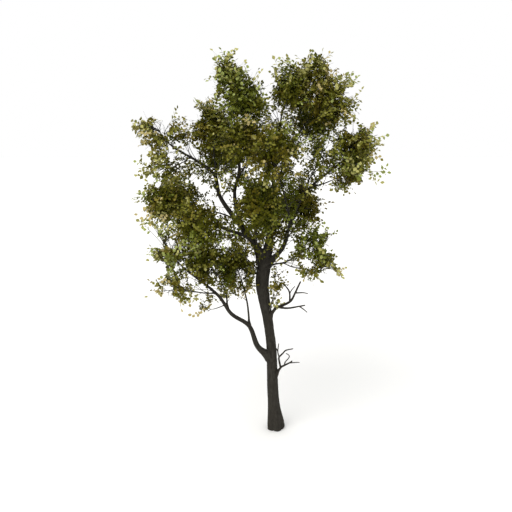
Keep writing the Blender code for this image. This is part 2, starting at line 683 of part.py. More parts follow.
def even_direction(order, count, axis, turn):
    """The order-th of count directions, even on all sides, from ahead to behind."""
    rise = 1.0 - (1.0 - TWIG_LOWEST_RISE) * (order + FIRST_TWIG_LAG) / count
    round_ring = math.sqrt(max(0.0, 1.0 - rise * rise))
    angle = order * GOLDEN_ANGLE + turn
    first = np.array((1.0, 0.0, 0.0)) if abs(axis[0]) < 0.8 else np.array((0.0, 1.0, 0.0))
    side = unit(first - axis * np.dot(first, axis))
    other = np.cross(axis, side)
    ring = math.cos(angle) * side + math.sin(angle) * other
    return rise, unit(axis * rise + ring * round_ring)


def spray_points(root, axis, facing, length):
    """A grid of points over a blade, close enough to tell what it would touch."""
    corners, _ = spray_shape(root, axis, facing, length)
    grid = []
    for corner in corners[2:4]:
        for along in np.linspace(SPRAY_CHECK_FROM, 1.0, SPRAY_CHECK_ROWS):
            if along < SPRAY_SHOULDER:
                edge = root + (corner - root) * along / SPRAY_SHOULDER
            else:
                past = (along - SPRAY_SHOULDER) / (1.0 - SPRAY_SHOULDER)
                edge = corner + (corners[1] - corner) * past
            spine = root + axis * length * along
            grid.extend(spine + (edge - spine) * across for across in (0.0, 0.5, 1.0))
    return np.array(grid)


def place_spray(rng, root, outward, facing, length, radius, space, wood, taken):
    """A blade rooted in a twig that fits its space, or None where none fits."""
    for attempt in range(PLACING_TRIES):
        loose = SPRAY_LOOSENESS * (FIRST_LOOSENESS + LOOSENING * attempt)
        axis = unit(outward + loose * rng.normal(size=3))
        turned = unit(facing + loose * rng.normal(size=3))
        size = length * rng.uniform(*SPRAY_SIZE_SPREAD) * (1.0 - SPRAY_SHRINK * attempt)
        sunk = root - axis * SPRAY_ROOT_SINK * radius
        shape = spray_shape(sunk, axis, turned, size)
        if not space.holds(shape[0][1:]):
            continue
        grid = spray_points(sunk, axis, turned, size)
        if wood.gap(grid) < LIMB_MARGIN or least_distance(grid, taken) < SPRAY_CLEAR:
            continue
        taken.append(grid)
        return shape
    return None


def core_shape(rng, space, wood):
    """A lumpy twenty-sided core that fits the space clear of all limbs, or None."""
    ball = bmesh.new()
    bmesh.ops.create_icosphere(ball, subdivisions=1, radius=1.0)
    corners = np.array([corner.co[:] for corner in ball.verts])
    faces = [tuple(corner.index for corner in face.verts) for face in ball.faces]
    ball.free()
    lumps = rng.uniform(1.0 - CORE_ROUGHNESS, 1.0 + CORE_ROUGHNESS, len(corners))
    share = CORE_SHARE
    while share > CORE_SMALLEST:
        points = space.middle + corners * lumps[:, None] * space.half_sizes * share
        grid = [points] + [np.mean(points[list(face)], axis=0)[None] for face in faces]
        if space.holds(points) and wood.gap(np.vstack(grid)) > 2.0 * LIMB_MARGIN:
            return points, faces
        share -= CORE_SHRINK
    return None


def mass_twigs(rng, count, stem, space, wood):
    """The twigs of one mass, leaving its stem by the golden angle on all sides."""
    axis = unit(stem[-1] - stem[0])
    turn = rng.uniform(0.0, 2.0 * math.pi)
    twigs = []
    for order in range(count):
        rise, direction = even_direction(order, count, axis, turn)
        share = np.interp(rise, (TWIG_LOWEST_RISE, 1.0), (TWIG_FIRST_AT, TWIG_LAST_AT))
        start, heading = point_at(stem, share)
        reach = TWIG_REACH * rng.uniform(*TWIG_REACH_SPREAD)
        end = space.middle + direction * space.radius_towards(direction) * reach
        heading = unit(heading + unit(end - start))
        for _ in range(TWIG_SHORTENINGS):
            twig = bend_line(start, heading, end, TWIG_PULL, TWIG_RINGS)
            if space.holds(twig[1:]) and wood.gap(twig[1:]) > TWIG_ROOT_RADIUS:
                twigs.append(twig)
                break
            end = start + (end - start) * TWIG_SHORTENING
    return twigs


def leaf_material(name):
    """The material of a mass's leaves."""
    if name in AMBER_MASSES:
        return LEAF_AMBER
    if name in OLIVE_MASSES:
        return LEAF_OLIVE
    return LEAF_GREEN


def grow_mass(name, rng, stem, stem_radius, heading, space, wood):
    """One mass: twigs leave the stem by the golden angle and carry blades."""
    leaf = leaf_material(name)
    mean_size = np.prod(space.half_sizes) ** (1.0 / 3.0)
    size = float(np.clip(SPRAY_SHARE * mean_size, *SPRAY_LENGTHS))
    stem_radii = np.linspace(stem_radius, TWIG_END_RADIUS, len(stem))
    made = mesh_object(name, *tube_shape(stem, stem_radii, TWIG_SIDES, heading=heading), leaf)
    parts = operand_collection(name + "_parts")
    rest = wood.without(name)
    core = core_shape(rng, space, rest) if name in DENSE_MASSES else None
    if core is not None:
        mesh_object(name + "_core", *core, leaf, parts)
    count = SPRIG_TWIGS if name == SPRIG_NAME else TWIGS_PER_MASS
    runs = [stem] + mass_twigs(rng, count, stem, space, rest)
    run_grids = [smooth_line(run, TWIG_CHECK_STEP) for run in runs]
    sprays = []
    for order, run in enumerate(runs):
        root_radius = TWIG_ROOT_RADIUS if order else stem_radius
        if order:
            radii = np.linspace(TWIG_ROOT_RADIUS, TWIG_END_RADIUS, len(run))
            mesh_object(name + "_twig", *tube_shape(run, radii, TWIG_SIDES), leaf, parts)
        lean = rng.normal(size=3) + np.array((0.0, 0.0, SPRAY_UPTURN))
        for spray in range(SPRAYS_PER_TWIG if order else 1):
            along = 1.0 - spray * SPRAY_SPACING
            root, ahead = point_at(run, along)
            if spray == 0:
                root = root - ahead * END_SPRAY_SINK * TWIG_END_RADIUS
            facing = unit(lean - ahead * np.dot(lean, ahead))
            outward = ahead
            if spray:
                hand = SPRAY_ANGLE * (1.0 if spray % 2 else -1.0)
                outward = math.cos(hand) * ahead + math.sin(hand) * np.cross(facing, ahead)
            thick = float(np.interp(along, (0.0, 1.0), (root_radius, TWIG_END_RADIUS)))
            taken = run_grids[:order] + run_grids[order + 1:] + sprays
            kept = len(taken)
            shape = place_spray(rng, root, outward, facing, size, thick, space, rest, taken)
            if shape is not None:
                sprays.extend(taken[kept:])
                mesh_object(name + "_spray", *shape, leaf, parts)
    boolean(made, "UNION", parts)
    keep_largest_body(made)


def lay_out_wood(limbs, dead_lines, stems):
    """Everything with bark that the leaves keep clear of."""
    wood = Wood()
    for name, limb in limbs.items():
        wood.add(name, limb["line"], mean_radii(limb))
    for name, lines in dead_lines.items():
        for order, line in enumerate(lines):
            wood.add(name + str(order), line, np.full(len(line), DEAD_ROOM))
    for name, (line, radius, _) in stems.items():
        wood.add(name, line, np.linspace(radius, TWIG_END_RADIUS, len(line)))
    return wood


def main():
    """Clear the scene, then build the trunk, the boughs, dead wood and the foliage."""
    for old in list(bpy.data.objects):
        bpy.data.objects.remove(old)
    limbs = lay_out_limbs()
    build_limbs(limbs)
    dead_lines = {name: build_dead_wood(name, limbs) for name in DEAD_WOOD}

    spaces = {name: Space(middle, half) for name, (_, middle, half) in MASSES.items()}
    spaces[SPRIG_NAME] = Space(*SPRIG_SPACE)
    for name, space in spaces.items():
        for other_name, other in spaces.items():
            if other_name != name:
                space.add_wall(other)

    stems = {name: stem_line(limbs[MASSES[name][0]], spaces[name]) for name in MASSES}
    foot = point_at_height(limbs["trunk"]["line"], SPRIG_LEAVES_AT)
    sprig = smooth_line((tuple(foot),) + SPRIG_STEM, SPRIG_STEP)
    stems[SPRIG_NAME] = (sprig, SPRIG_RADIUS, None)
    wood = lay_out_wood(limbs, dead_lines, stems)
    for order, (name, (stem, radius, heading)) in enumerate(stems.items()):
        rng = np.random.default_rng(SEED + order)
        grow_mass(name, rng, stem, radius, heading, spaces[name], wood)
    cut_by_trunk(bpy.data.objects[SPRIG_NAME], limbs)


if __name__ == "__main__":
    main()
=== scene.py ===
"""Ironwood tree: bark, dead wood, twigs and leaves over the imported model.

Lengths are in metres and +Z is up.  The trunk and every bough get a mesh with the
bark's relief.  Each mass of foliage becomes twigs and leaves that grow on from its
bough by the same rule as its solid, carried on to finer shoots in the same space.
"""

import math

import bpy
import numpy as np
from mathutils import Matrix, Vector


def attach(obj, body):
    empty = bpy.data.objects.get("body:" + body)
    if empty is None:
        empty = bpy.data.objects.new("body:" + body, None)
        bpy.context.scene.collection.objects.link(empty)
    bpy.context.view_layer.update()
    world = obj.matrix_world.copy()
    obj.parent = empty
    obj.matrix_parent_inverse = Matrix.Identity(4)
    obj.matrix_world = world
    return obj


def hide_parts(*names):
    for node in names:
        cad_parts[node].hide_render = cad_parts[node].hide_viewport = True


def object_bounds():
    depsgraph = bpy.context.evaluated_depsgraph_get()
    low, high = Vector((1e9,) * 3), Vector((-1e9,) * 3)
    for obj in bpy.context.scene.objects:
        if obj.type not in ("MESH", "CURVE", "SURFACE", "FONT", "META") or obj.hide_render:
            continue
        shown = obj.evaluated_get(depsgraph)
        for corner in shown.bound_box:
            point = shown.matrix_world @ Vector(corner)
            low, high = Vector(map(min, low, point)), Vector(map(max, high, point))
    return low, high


bl_info = {
    "name": "Ironwood Tree",
    "version": (1, 0, 0),
    "blender": (4, 5, 0),
    "location": "3D Viewport > Sidebar > Ironwood",
    "description": "Bark, dead wood, twigs and leaves for the ironwood tree",
    "category": "Object",
}

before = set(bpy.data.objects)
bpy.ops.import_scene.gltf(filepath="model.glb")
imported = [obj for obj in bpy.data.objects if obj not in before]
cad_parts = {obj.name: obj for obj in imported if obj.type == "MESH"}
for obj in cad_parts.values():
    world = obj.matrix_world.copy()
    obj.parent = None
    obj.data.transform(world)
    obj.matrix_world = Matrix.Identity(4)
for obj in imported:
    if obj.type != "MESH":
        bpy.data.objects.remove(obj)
CAD_BOX = [list(map(float, corner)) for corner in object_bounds()]

# ----------------------------------------------------------- trunk, boughs and bark
SEED = 41
LINE_CUTS = 24  # fine cuts between two stops of a line
GOLDEN_ANGLE = math.pi * (3.0 - math.sqrt(5.0))
FLARE_SWELL = 0.057  # extra radius of the root flare at the ground
FLARE_HEIGHT = 0.50
FLARE_LOBES = 5
LOBE_TURN = math.radians(70.0)
LOBE_SHARPNESS = 0.62  # below one makes the grooves narrow
FOOT_ROUNDING = 0.035  # height over which the foot curves in to the ground
FOOT_TUCK = 0.10  # share of the radius that it curves in
BOUGH_TAPER = 0.8
DEAD_TAPER = 1.2
DEAD_BARK = 0.003  # extra radius of the bark left on dead wood
TRUNK_TIP_RADIUS = 0.020
BALL_STEP = 0.02  # between the balls that stand for a limb
UPRIGHT = 0.9  # a line that rises this steeply counts as upright
NEARLY_UPRIGHT = 0.8  # and a twig
# Layers of the bark's relief: how much finer than a plate, and where its noise is read.
FURROW_NOISE = ((1.0, 1.0, 1.0), 7.3)
CRACK_NOISE = ((2.1, 2.1, 1.4), 19.1)
FLAKE_NOISE = ((4.0, 4.0, 3.2), 3.7)
SWELL_NOISE = ((0.35, 0.35, 0.5), 11.9)
FURROW_BAND = 0.055  # how near to one half the noise is in a furrow
CRACK_BAND = 0.05
SWELL_HEIGHT = 1.4  # heights and depths as shares of the relief
FURROW_DEPTH = 0.9
CRACK_DEPTH = 0.35
FLAKE_HEIGHT = 0.5
CRACK_SHADE = 0.45  # how dark a crack is beside a furrow
FULL_RELIEF_RADIUS = 0.12  # a limb this thick has the full relief
LEAST_RELIEF = 0.12  # share of it on the thinnest limb
COLLAR_REACH = 2.6  # how many of its radii a bough's collar runs along
FLAT_FOOT = 0.05  # height over which the relief begins
TRUNK_SIDES = 96
BOUGH_SIDES = (12, 40)  # fewest and most sides of a bough
SIDES_BY_RADIUS = 560.0  # sides for each metre of its radius
DEAD_STEP = 0.014
DEAD_SIDES = 14

# ------------------------------------------------------------------ the growth rule
CROWN_HEART = np.array((-0.4, 0.0, 5.9))
STEM_PULL = 0.45
STEM_PAST_MIDDLE = 0.22  # share of the mass's radius
STEM_SHARE = 0.92  # stem's radius as a share of its bough's tip
STEM_OVERLAP = 0.03  # how far back the stem starts in its bough
TWIG_LOWEST_RISE = -0.84  # how far back the lowest twig points
TWIG_FIRST_AT = 0.22  # share of the stem where the lowest twig leaves
TWIG_LAST_AT = 0.96
WALL_REACH = 1.6  # neighbours farther apart than this need no wall
LEAST_APPROACH = 0.02  # below this a direction counts as along a wall
TWIG_OFFSET = 0.4  # how far the first twig is along its step
TWIG_LENGTHS = (0.70, 1.22)  # least and greatest share of its length
TWIG_ROOM = 0.94  # share of the room ahead that a first twig may use
TWIG_FOLLOWS = 0.6  # how much it follows its stem where it leaves
TWIG_PULL = 0.42  # where its curve's middle point lies
SIDE_TURNS = 0.25  # how much side twigs stray from even turns
SIDE_LEANS = (0.8, 1.2)  # least and greatest share of their angle
SIDE_LENGTHS = (0.75, 1.2)
SIDE_LEAST_ROOM = 0.35  # share of its length that a side twig needs
SIDE_FOLLOWS = 0.8
SIDE_PULL = 0.40
LIFT = 0.11  # how much side twigs bend to the sky
END_STRAYS = 0.12  # how much an end shoot strays from its carrier
END_LENGTHS = (0.85, 1.10)
END_LEAST_ROOM = 0.3
# Rules of side twigs: shares of the parent where they leave, how far these stray, and
# the length of a twig at the parent's start and how much of it is lost to the end.
TWIGLETS_BETWEEN = (0.14, 0.76)
TWIGLETS_BACK = 0.08  # how far before these shares the twiglets leave
TWIGLET_RULE = (0.05, 1.10, 0.80)
MASS_PLUMES = ((0.56, 0.72, 0.88), 0.04, 2.05, 0.85)
MASS_INNER = ((0.28, 0.52, 0.76), 0.06, 1.05, 0.40)
LIMB_SIDES = ((0.35, 0.58, 0.80), 0.06, 1.10, 0.40)
REACH_PLUMES = ((0.42, 0.56, 0.69, 0.81, 0.92), 0.03, 1.15, 0.60)
TWIGLET_LENGTH = 0.50  # as a share of the mass's size
TWIGLET_SPARE = 0.4  # share of a shoot kept free beyond a twiglet
PLUME_ANGLE = 0.85  # as a share of the branching angle
PLUME_MINGLE = 1.6  # as a share of how far shoots mingle
TWIG_END = 1.45  # lengths of end shoots as shares of a shoot's
TWIGLET_END = 0.85
LIMB_TWIG_END = 0.9
REACH_END = 0.45
LIMB_TWIG_STRAYS = 0.02  # how far twigs off a limb stray along it
LIMB_TWIG_LENGTHS = (0.5, 1.2)
LIMB_TWIG_ANGLE = 1.15
LIMB_TWIG_LIFT = 0.15
REACH_SHORT = 0.12  # length at its tip that a reaching twig leaves to a shoot
REACH_MOST_SHORT = 0.5
REACH_FOLLOWS = 0.9  # how much it turns to its tip where it leaves
REACH_PULL = 0.45
# Tubes of the twigs: radius at the root and at the tip, rings and sides.
STEM_TUBE = (0.0070, 10, 8)  # its root's radius is its bough's
TWIG_TUBE = (0.0075, 0.0038, 8, 5)
TWIGLET_TUBE = (0.0048, 0.0028, 5, 4)
SHOOT_TUBE = (0.0028, 0.0015, 4, 3)
LIMB_TWIG_TUBE = (0.0085, 0.0032, 7, 5)

# The trunk's middle line, and its radius at some heights without the flare.
TRUNK_LINE = (
    (0.00, 0.00, 0.00), (-0.07, 0.00, 0.80), (-0.10, 0.00, 1.50), (-0.13, 0.02, 2.20),
    (-0.22, 0.05, 2.90), (-0.34, 0.05, 3.65), (-0.31, 0.03, 4.15), (-0.18, 0.02, 4.85),
    (-0.13, 0.08, 5.75), (-0.05, 0.10, 6.65), (0.05, 0.12, 7.50),
)
TRUNK_RADII = (
    (0.0, 0.142), (0.8, 0.138), (1.3, 0.135), (1.8, 0.127), (2.3, 0.118), (2.9, 0.119),
    (3.3, 0.132), (3.7, 0.153), (4.1, 0.165), (4.8, 0.096), (5.6, 0.050), (6.5, 0.032),
    (7.5, TRUNK_TIP_RADIUS),
)

# name: parent, height at which it leaves, radius there, tip radius, stops to its tip
BOUGHS = {
    "bough_low_left": ("trunk", 1.84, 0.076, 0.022, (
        (-0.45, -0.08, 2.21), (-0.66, -0.15, 2.77), (-1.07, -0.28, 3.12),
        (-1.39, -0.38, 3.63), (-2.10, -0.38, 4.23))),
    "bough_low_left_riser": ("bough_low_left", 3.25, 0.024, 0.014, (
        (-1.20, -0.20, 3.62), (-1.36, -0.16, 3.98))),
    "bough_low_left_upright": ("bough_low_left", 2.75, 0.028, 0.015, (
        (-0.70, -0.02, 3.28), (-0.82, 0.12, 3.76))),
    "bough_low_left_side": ("bough_low_left", 3.66, 0.020, 0.012, (
        (-1.66, -0.56, 3.72), (-1.98, -0.58, 3.78))),
    "bough_low_left_droop": ("bough_low_left", 3.36, 0.014, 0.009, (
        (-1.34, -0.48, 3.35), (-1.48, -0.50, 3.31))),
    "bough_left_rise": ("trunk", 4.18, 0.085, 0.022, (
        (-0.59, 0.20, 4.77), (-0.96, 0.30, 5.23), (-1.33, 0.40, 5.76),
        (-1.52, 0.42, 6.35), (-2.35, 0.40, 6.88))),
    "bough_upper_left_low": ("bough_left_rise", 6.68, 0.016, 0.011, (
        (-2.12, 0.24, 6.60), (-2.24, 0.20, 6.54))),
    "bough_high_left": ("bough_left_rise", 6.20, 0.026, 0.014, (
        (-1.44, 0.50, 6.55), (-1.48, 0.54, 6.86))),
    "bough_right_rise": ("trunk", 4.10, 0.062, 0.020, (
        (0.12, -0.15, 4.69), (0.27, -0.20, 5.22), (0.62, -0.20, 5.97),
        (1.42, -0.16, 6.66))),
    "bough_left_level": ("trunk", 4.40, 0.060, 0.023, (
        (-0.66, -0.30, 4.94), (-1.18, -0.60, 5.22), (-2.00, -0.70, 5.60))),
    "bough_left_mid": ("bough_left_level", 5.06, 0.024, 0.014, (
        (-1.12, -0.78, 5.12), (-1.40, -1.00, 5.20))),
    "bough_inner_left": ("bough_left_rise", 4.98, 0.055, 0.019, (
        (-0.90, -0.02, 5.40), (-0.97, -0.25, 5.98), (-0.86, -0.30, 6.60),
        (-1.02, -0.17, 7.95))),
    "bough_top_left": ("bough_inner_left", 6.95, 0.018, 0.012, (
        (-0.74, -0.40, 7.20), (-0.66, -0.42, 7.44))),
    "bough_high_front": ("bough_inner_left", 6.05, 0.024, 0.014, (
        (-0.90, -0.48, 6.30), (-0.74, -0.66, 6.58))),
    "bough_front": ("bough_right_rise", 4.86, 0.032, 0.015, (
        (0.24, -0.55, 5.40), (0.12, -0.98, 5.95), (-0.02, -1.30, 6.48))),
    "bough_back": ("trunk", 4.95, 0.036, 0.016, (
        (-0.34, 0.46, 5.45), (-0.70, 0.92, 5.85), (-1.02, 1.26, 6.12))),
    "bough_back_left": ("bough_left_rise", 4.70, 0.034, 0.016, (
        (-0.74, 0.55, 4.98), (-1.16, 0.98, 5.18), (-1.74, 1.24, 5.30))),
    "bough_mid_front": ("bough_left_level", 4.70, 0.026, 0.015, (
        (-0.50, -0.48, 5.02), (-0.47, -0.84, 5.52))),
    "bough_mid_back": ("trunk", 4.56, 0.030, 0.016, (
        (-0.20, 0.36, 4.84), (-0.15, 0.72, 5.08))),
    "bough_right_arm_low": ("bough_right_rise", 6.08, 0.020, 0.012, (
        (0.98, -0.36, 6.18), (1.16, -0.40, 6.26))),
    "bough_right_inner": ("bough_right_rise", 5.72, 0.018, 0.011, (
        (0.58, -0.40, 6.10), (0.74, -0.44, 6.42))),
    "bough_mid_right": ("bough_right_rise", 4.72, 0.022, 0.013, (
        (0.26, 0.06, 4.90), (0.44, 0.20, 5.08))),
    "bough_right_low": ("trunk", 4.10, 0.025, 0.014, (
        (-0.08, -0.26, 4.31), (0.18, -0.40, 4.41), (0.50, -0.56, 4.66))),
    "bough_left_slender": ("trunk", 3.96, 0.023, 0.010, (
        (-0.50, -0.12, 4.20), (-0.70, -0.20, 4.42), (-0.88, -0.26, 4.60))),
    "bough_right_low_outer": ("bough_right_low", 4.38, 0.014, 0.009, (
        (0.32, -0.58, 4.34), (0.58, -0.70, 4.33))),
    "bough_leader_right": ("trunk", 5.85, 0.034, 0.016, (
        (0.12, 0.30, 6.45), (0.32, 0.40, 6.95), (0.66, 0.30, 7.50))),
    "bough_peak": ("bough_leader_right", 6.95, 0.016, 0.010, (
        (0.42, 0.54, 7.45), (0.70, 0.46, 8.14))),
    "bough_back_right": ("bough_leader_right", 6.45, 0.020, 0.012, (
        (0.28, 0.62, 6.72), (0.42, 0.84, 6.95))),
}

# name: limb that carries it, middle of its space, half sizes of its space
MASSES = {
    "foliage_spire": ("bough_inner_left", (-1.12, -0.10, 8.42), (0.47, 0.48, 0.62)),
    "foliage_top_left": ("bough_top_left", (-0.64, -0.44, 7.93), (0.62, 0.63, 0.67)),
    "foliage_top_middle": ("trunk", (0.30, 0.20, 8.16), (0.57, 0.63, 0.72)),
    "foliage_top_right": ("bough_leader_right", (1.10, 0.02, 7.90), (0.76, 0.69, 0.71)),
    "foliage_peak": ("bough_peak", (0.81, 0.42, 8.53), (0.51, 0.53, 0.54)),
    "foliage_back_right": ("bough_back_right", (0.93, 1.16, 7.45), (0.72, 0.69, 0.67)),
    "foliage_right_arm": ("bough_right_rise", (1.75, -0.10, 6.96), (0.65, 0.63, 0.50)),
    "foliage_right_arm_low": ("bough_right_arm_low", (1.63, -0.46, 6.38), (0.72, 0.57, 0.41)),
    "foliage_right_inner": ("bough_right_inner", (0.88, -0.46, 6.78), (0.50, 0.61, 0.51)),
    "foliage_upper_left": ("bough_left_rise", (-2.63, 0.40, 7.22), (0.80, 0.63, 0.50)),
    "foliage_upper_left_low": ("bough_upper_left_low", (-2.53, 0.16, 6.46), (0.70, 0.57, 0.39)),
    "foliage_high_left": ("bough_high_left", (-1.53, 0.58, 7.23), (0.60, 0.63, 0.72)),
    "foliage_high_front": ("bough_high_front", (-0.75, -0.86, 7.06), (0.63, 0.65, 0.61)),
    "foliage_front": ("bough_front", (-0.14, -1.60, 6.98), (0.61, 0.69, 0.61)),
    "foliage_back": ("bough_back", (-1.34, 1.62, 6.62), (0.77, 0.71, 0.73)),
    "foliage_left_high": ("bough_left_level", (-2.51, -0.68, 5.85), (0.77, 0.63, 0.50)),
    "foliage_left_mid": ("bough_left_mid", (-1.70, -1.16, 5.38), (0.77, 0.63, 0.50)),
    "foliage_back_left": ("bough_back_left", (-2.32, 1.38, 5.50), (0.77, 0.69, 0.66)),
    "foliage_low_left_outer": ("bough_low_left", (-2.42, -0.30, 4.59), (0.58, 0.55, 0.45)),
    "foliage_low_left": ("bough_low_left_riser", (-1.67, -0.14, 4.33), (0.71, 0.61, 0.68)),
    "foliage_low_left_inner": ("bough_low_left_upright", (-0.97, 0.24, 4.08), (0.62, 0.57, 0.69)),
    "foliage_low_left_tip": ("bough_low_left_side", (-2.28, -0.62, 3.81), (0.59, 0.48, 0.34)),
    "foliage_hanging": ("bough_low_left_droop", (-1.61, -0.54, 3.35), (0.36, 0.36, 0.31)),
    "foliage_mid_front": ("bough_mid_front", (-0.44, -1.16, 5.83), (0.67, 0.65, 0.66)),
    "foliage_mid_back": ("bough_mid_back", (-0.20, 1.16, 5.25), (0.82, 0.71, 0.73)),
    "foliage_mid_right": ("bough_mid_right", (0.62, 0.36, 5.57), (0.64, 0.61, 0.66)),
    "foliage_right_low": ("bough_right_low", (0.83, -0.68, 4.90), (0.57, 0.53, 0.39)),
    "foliage_right_low_tip": ("bough_right_low_outer", (0.96, -0.80, 4.36), (0.58, 0.46, 0.30)),
}

# Masses dense enough to have a core that their twigs stand out of.
DENSE_MASSES = (
    "foliage_top_left", "foliage_top_middle", "foliage_top_right", "foliage_peak",
    "foliage_back_right", "foliage_right_arm", "foliage_high_left", "foliage_high_front",
    "foliage_front", "foliage_back", "foliage_left_high", "foliage_left_mid",
    "foliage_back_left", "foliage_low_left", "foliage_low_left_inner",
    "foliage_mid_front", "foliage_mid_back", "foliage_mid_right",
)

# Masses that have begun to turn; the rest are green.
OLIVE_MASSES = (
    "foliage_spire", "foliage_top_middle", "foliage_high_left", "foliage_right_arm_low",
    "foliage_right_inner", "foliage_upper_left", "foliage_upper_left_low",
    "foliage_left_mid", "foliage_low_left_outer", "foliage_peak", "foliage_back",
)
AMBER_MASSES = (
    "foliage_top_right", "foliage_right_arm", "foliage_high_front", "foliage_front",
    "foliage_left_high", "foliage_mid_right", "foliage_low_left_tip",
    "foliage_trunk_sprig", "foliage_hanging",
)

# A sprig that grows from the side of the trunk: its space, the height where its stem
# leaves, a place that the stem heads for, and its tip.
SPRIG_NAME = "foliage_trunk_sprig"
SPRIG_SPACE = ((-0.02, -0.20, 3.82), (0.26, 0.26, 0.50))
SPRIG_LEAVES_AT = 2.95
SPRIG_HEADS_FOR = np.array((-0.12, -0.15, 3.28))
SPRIG_TIP = np.array((-0.05, -0.20, 3.94))
SPRIG_RADIUS = 0.018
SPRIG_PULL = 0.55

# Bare dead wood.  name: height at which it leaves the trunk, and its branches.
# Each branch is its root radius, its tip radius and its stops; all but the first start
# on the wood before them, at the place nearest to their first stop.
DEAD_WOOD = {
    "dead_limb": (2.80, (
        (0.038, 0.015, ((-0.10, -0.07, 3.08), (0.00, -0.07, 3.20), (0.15, -0.10, 3.27),
                        (0.32, -0.14, 3.39), (0.42, -0.15, 3.59), (0.48, -0.15, 3.73),
                        (0.54, -0.16, 3.87))),
        (0.021, 0.010, ((0.29, -0.13, 3.37), (0.29, -0.11, 3.58), (0.22, -0.10, 3.71),
                        (0.13, -0.08, 3.79))),
        (0.024, 0.011, ((0.01, -0.07, 3.20), (0.25, -0.20, 3.23), (0.51, -0.30, 3.31),
                        (0.64, -0.34, 3.35))),
        (0.013, 0.007, ((0.51, -0.30, 3.30), (0.61, -0.34, 3.25), (0.69, -0.38, 3.19))),
        (0.015, 0.007, ((0.42, -0.15, 3.58), (0.60, -0.20, 3.61), (0.71, -0.24, 3.60))),
        (0.011, 0.006, ((0.29, -0.11, 3.56), (0.35, -0.08, 3.65), (0.42, -0.05, 3.72))),
    )),
    "dead_twig": (1.36, (
        (0.031, 0.012, ((-0.02, -0.02, 1.42), (0.10, -0.10, 1.67), (0.19, -0.14, 1.75),
                        (0.30, -0.20, 1.84), (0.37, -0.22, 1.90))),
        (0.023, 0.009, ((0.10, -0.10, 1.67), (0.07, -0.10, 1.82), (0.06, -0.10, 1.94),
                        (0.15, -0.11, 2.05), (0.22, -0.12, 2.13), (0.39, -0.16, 2.19))),
        (0.014, 0.007, ((0.06, -0.10, 1.94), (0.03, -0.08, 2.08), (0.05, -0.06, 2.28))),
        (0.011, 0.006, ((0.03, -0.08, 2.07), (-0.02, -0.06, 2.19))),
        (0.012, 0.006, ((0.30, -0.20, 1.84), (0.45, -0.26, 1.88), (0.54, -0.30, 1.90))),
        (0.013, 0.007, ((0.19, -0.14, 1.75), (0.21, -0.11, 1.82), (0.30, -0.07, 1.92),
                        (0.30, -0.05, 1.97), (0.23, -0.04, 2.02))),
    )),
}

# ------------------------------------------------------------------ tints and leaves
# Plain tints of the leaves: name, base colour, roughness and gloss.  They come in three
# levels, each of them green, olive and amber: darker copies that paint shade in the crown,
# plain ones, and paler copies that paint light at the rims.
LEAF_TINTS = (
    ("leaf_shade_green", (0.066, 0.075, 0.005), 0.70, 0.04),
    ("leaf_shade_olive", (0.074, 0.074, 0.005), 0.70, 0.04),
    ("leaf_shade_amber", (0.085, 0.071, 0.005), 0.70, 0.04),
    ("leaf_green", (0.138, 0.160, 0.022), 0.62, 0.10),
    ("leaf_olive", (0.162, 0.159, 0.022), 0.62, 0.10),
    ("leaf_amber", (0.181, 0.152, 0.022), 0.64, 0.10),
    ("leaf_lit_green", (0.313, 0.356, 0.103), 0.60, 0.14),
    ("leaf_lit_olive", (0.394, 0.378, 0.127), 0.62, 0.14),
    ("leaf_lit_amber", (0.437, 0.362, 0.151), 0.64, 0.14),
)
LEVELS = 3
TINTS_IN_A_LEVEL = 3
LEVEL_SPREAD = 0.22  # how much a spray differs from its place's level
LEAF_SPREAD = 0.27  # and a leaf from its spray's
LOOSE_IN_SHADE = 0.22  # how much looser leaves stand in the shade
HUE_SPREAD = 0.45  # how much a spray's hue differs from its place's
GROUP_HUES = {"green": -0.45, "olive": -0.10, "amber": 0.15}
PATCH_CONTRAST = 3.2
PATCH_SIZE = 0.85  # how wide the patches of one hue are
PATCH_SHIFT = 5.0  # where the noise of the patches is read
FINE_PATCH_SIZE = 0.4  # fine patches, as a share of the wide ones' width
FINE_PATCH_SHARE = 0.25  # and of their weight
# How far each kind of shoot is from painted shade (0) to painted light at the rim (2),
# before the place counts.  The place then raises the level out in the crown and at a mass's
# rim, as painted light, and lowers it in the hearts of masses, as painted shade.
INNER, TIP, PLUME = range(3)
LEVEL_OF_KIND = (-0.08, 0.48, 1.06)
CROWN_HALF_SIZES = np.array((2.75, 3.60, 3.15))
DEPTHS_IN_CROWN = (0.42, 1.00)  # depths in the whole crown between which the level rises
BY_DEPTH = 0.45  # how much it rises there, and how much more for shoots
BY_HEADING = 0.85  # that point straight out of the crown
BEFORE_A_HEART = 0.30  # how much depth counts in a distance from a heart
RIM_OF_A_MASS = (0.75, 1.05)  # distances from a heart between which the level rises
AT_A_RIM = 0.80  # how much the level rises at the rim of a mass
SIZE_OF_A_HEART = (0.35, 0.80)  # distances between which a heart ends
IN_A_HEART = 0.10  # how much the level falls in a heart
IN_A_DENSE_HEART = 0.45  # and how much more in the heart of a dense mass
LEVEL_SIZES = (0.72, 0.82, 1.12)  # size of leaves at each level
SHADED = 0.62  # sprays below this level have many small leaves
# A leaf's outline: shares along it and across it, its triangles and its squares.
LEAF_ALONG = (0.0, 0.18, 0.18, 0.18, 0.46, 0.46, 0.46, 0.76, 0.76, 0.76, 1.0)
LEAF_ACROSS = (0.0, -1.0, 0.0, 1.0, -1.0, 0.0, 1.0, -1.0, 0.0, 1.0, 0.0)
LEAF_TRIANGLES = ((0, 1, 2), (0, 2, 3), (7, 10, 8), (8, 10, 9))
LEAF_SQUARES = ((1, 4, 5, 2), (2, 5, 6, 3), (4, 7, 8, 5), (5, 8, 9, 6))
SMALL_LEAF_ALONG = (0.0, 0.30, 0.30, 0.72, 0.72, 1.0)
SMALL_LEAF_ACROSS = (0.0, -1.0, 1.0, -1.0, 1.0, 0.0)
SMALL_LEAF_SQUARES = ((0, 1, 3, 5), (0, 5, 4, 2))
STALK = 0.11  # share of a leaf that is its stalk
LEAF_FULLNESS = 0.80  # below one moves the widest place towards the stalk
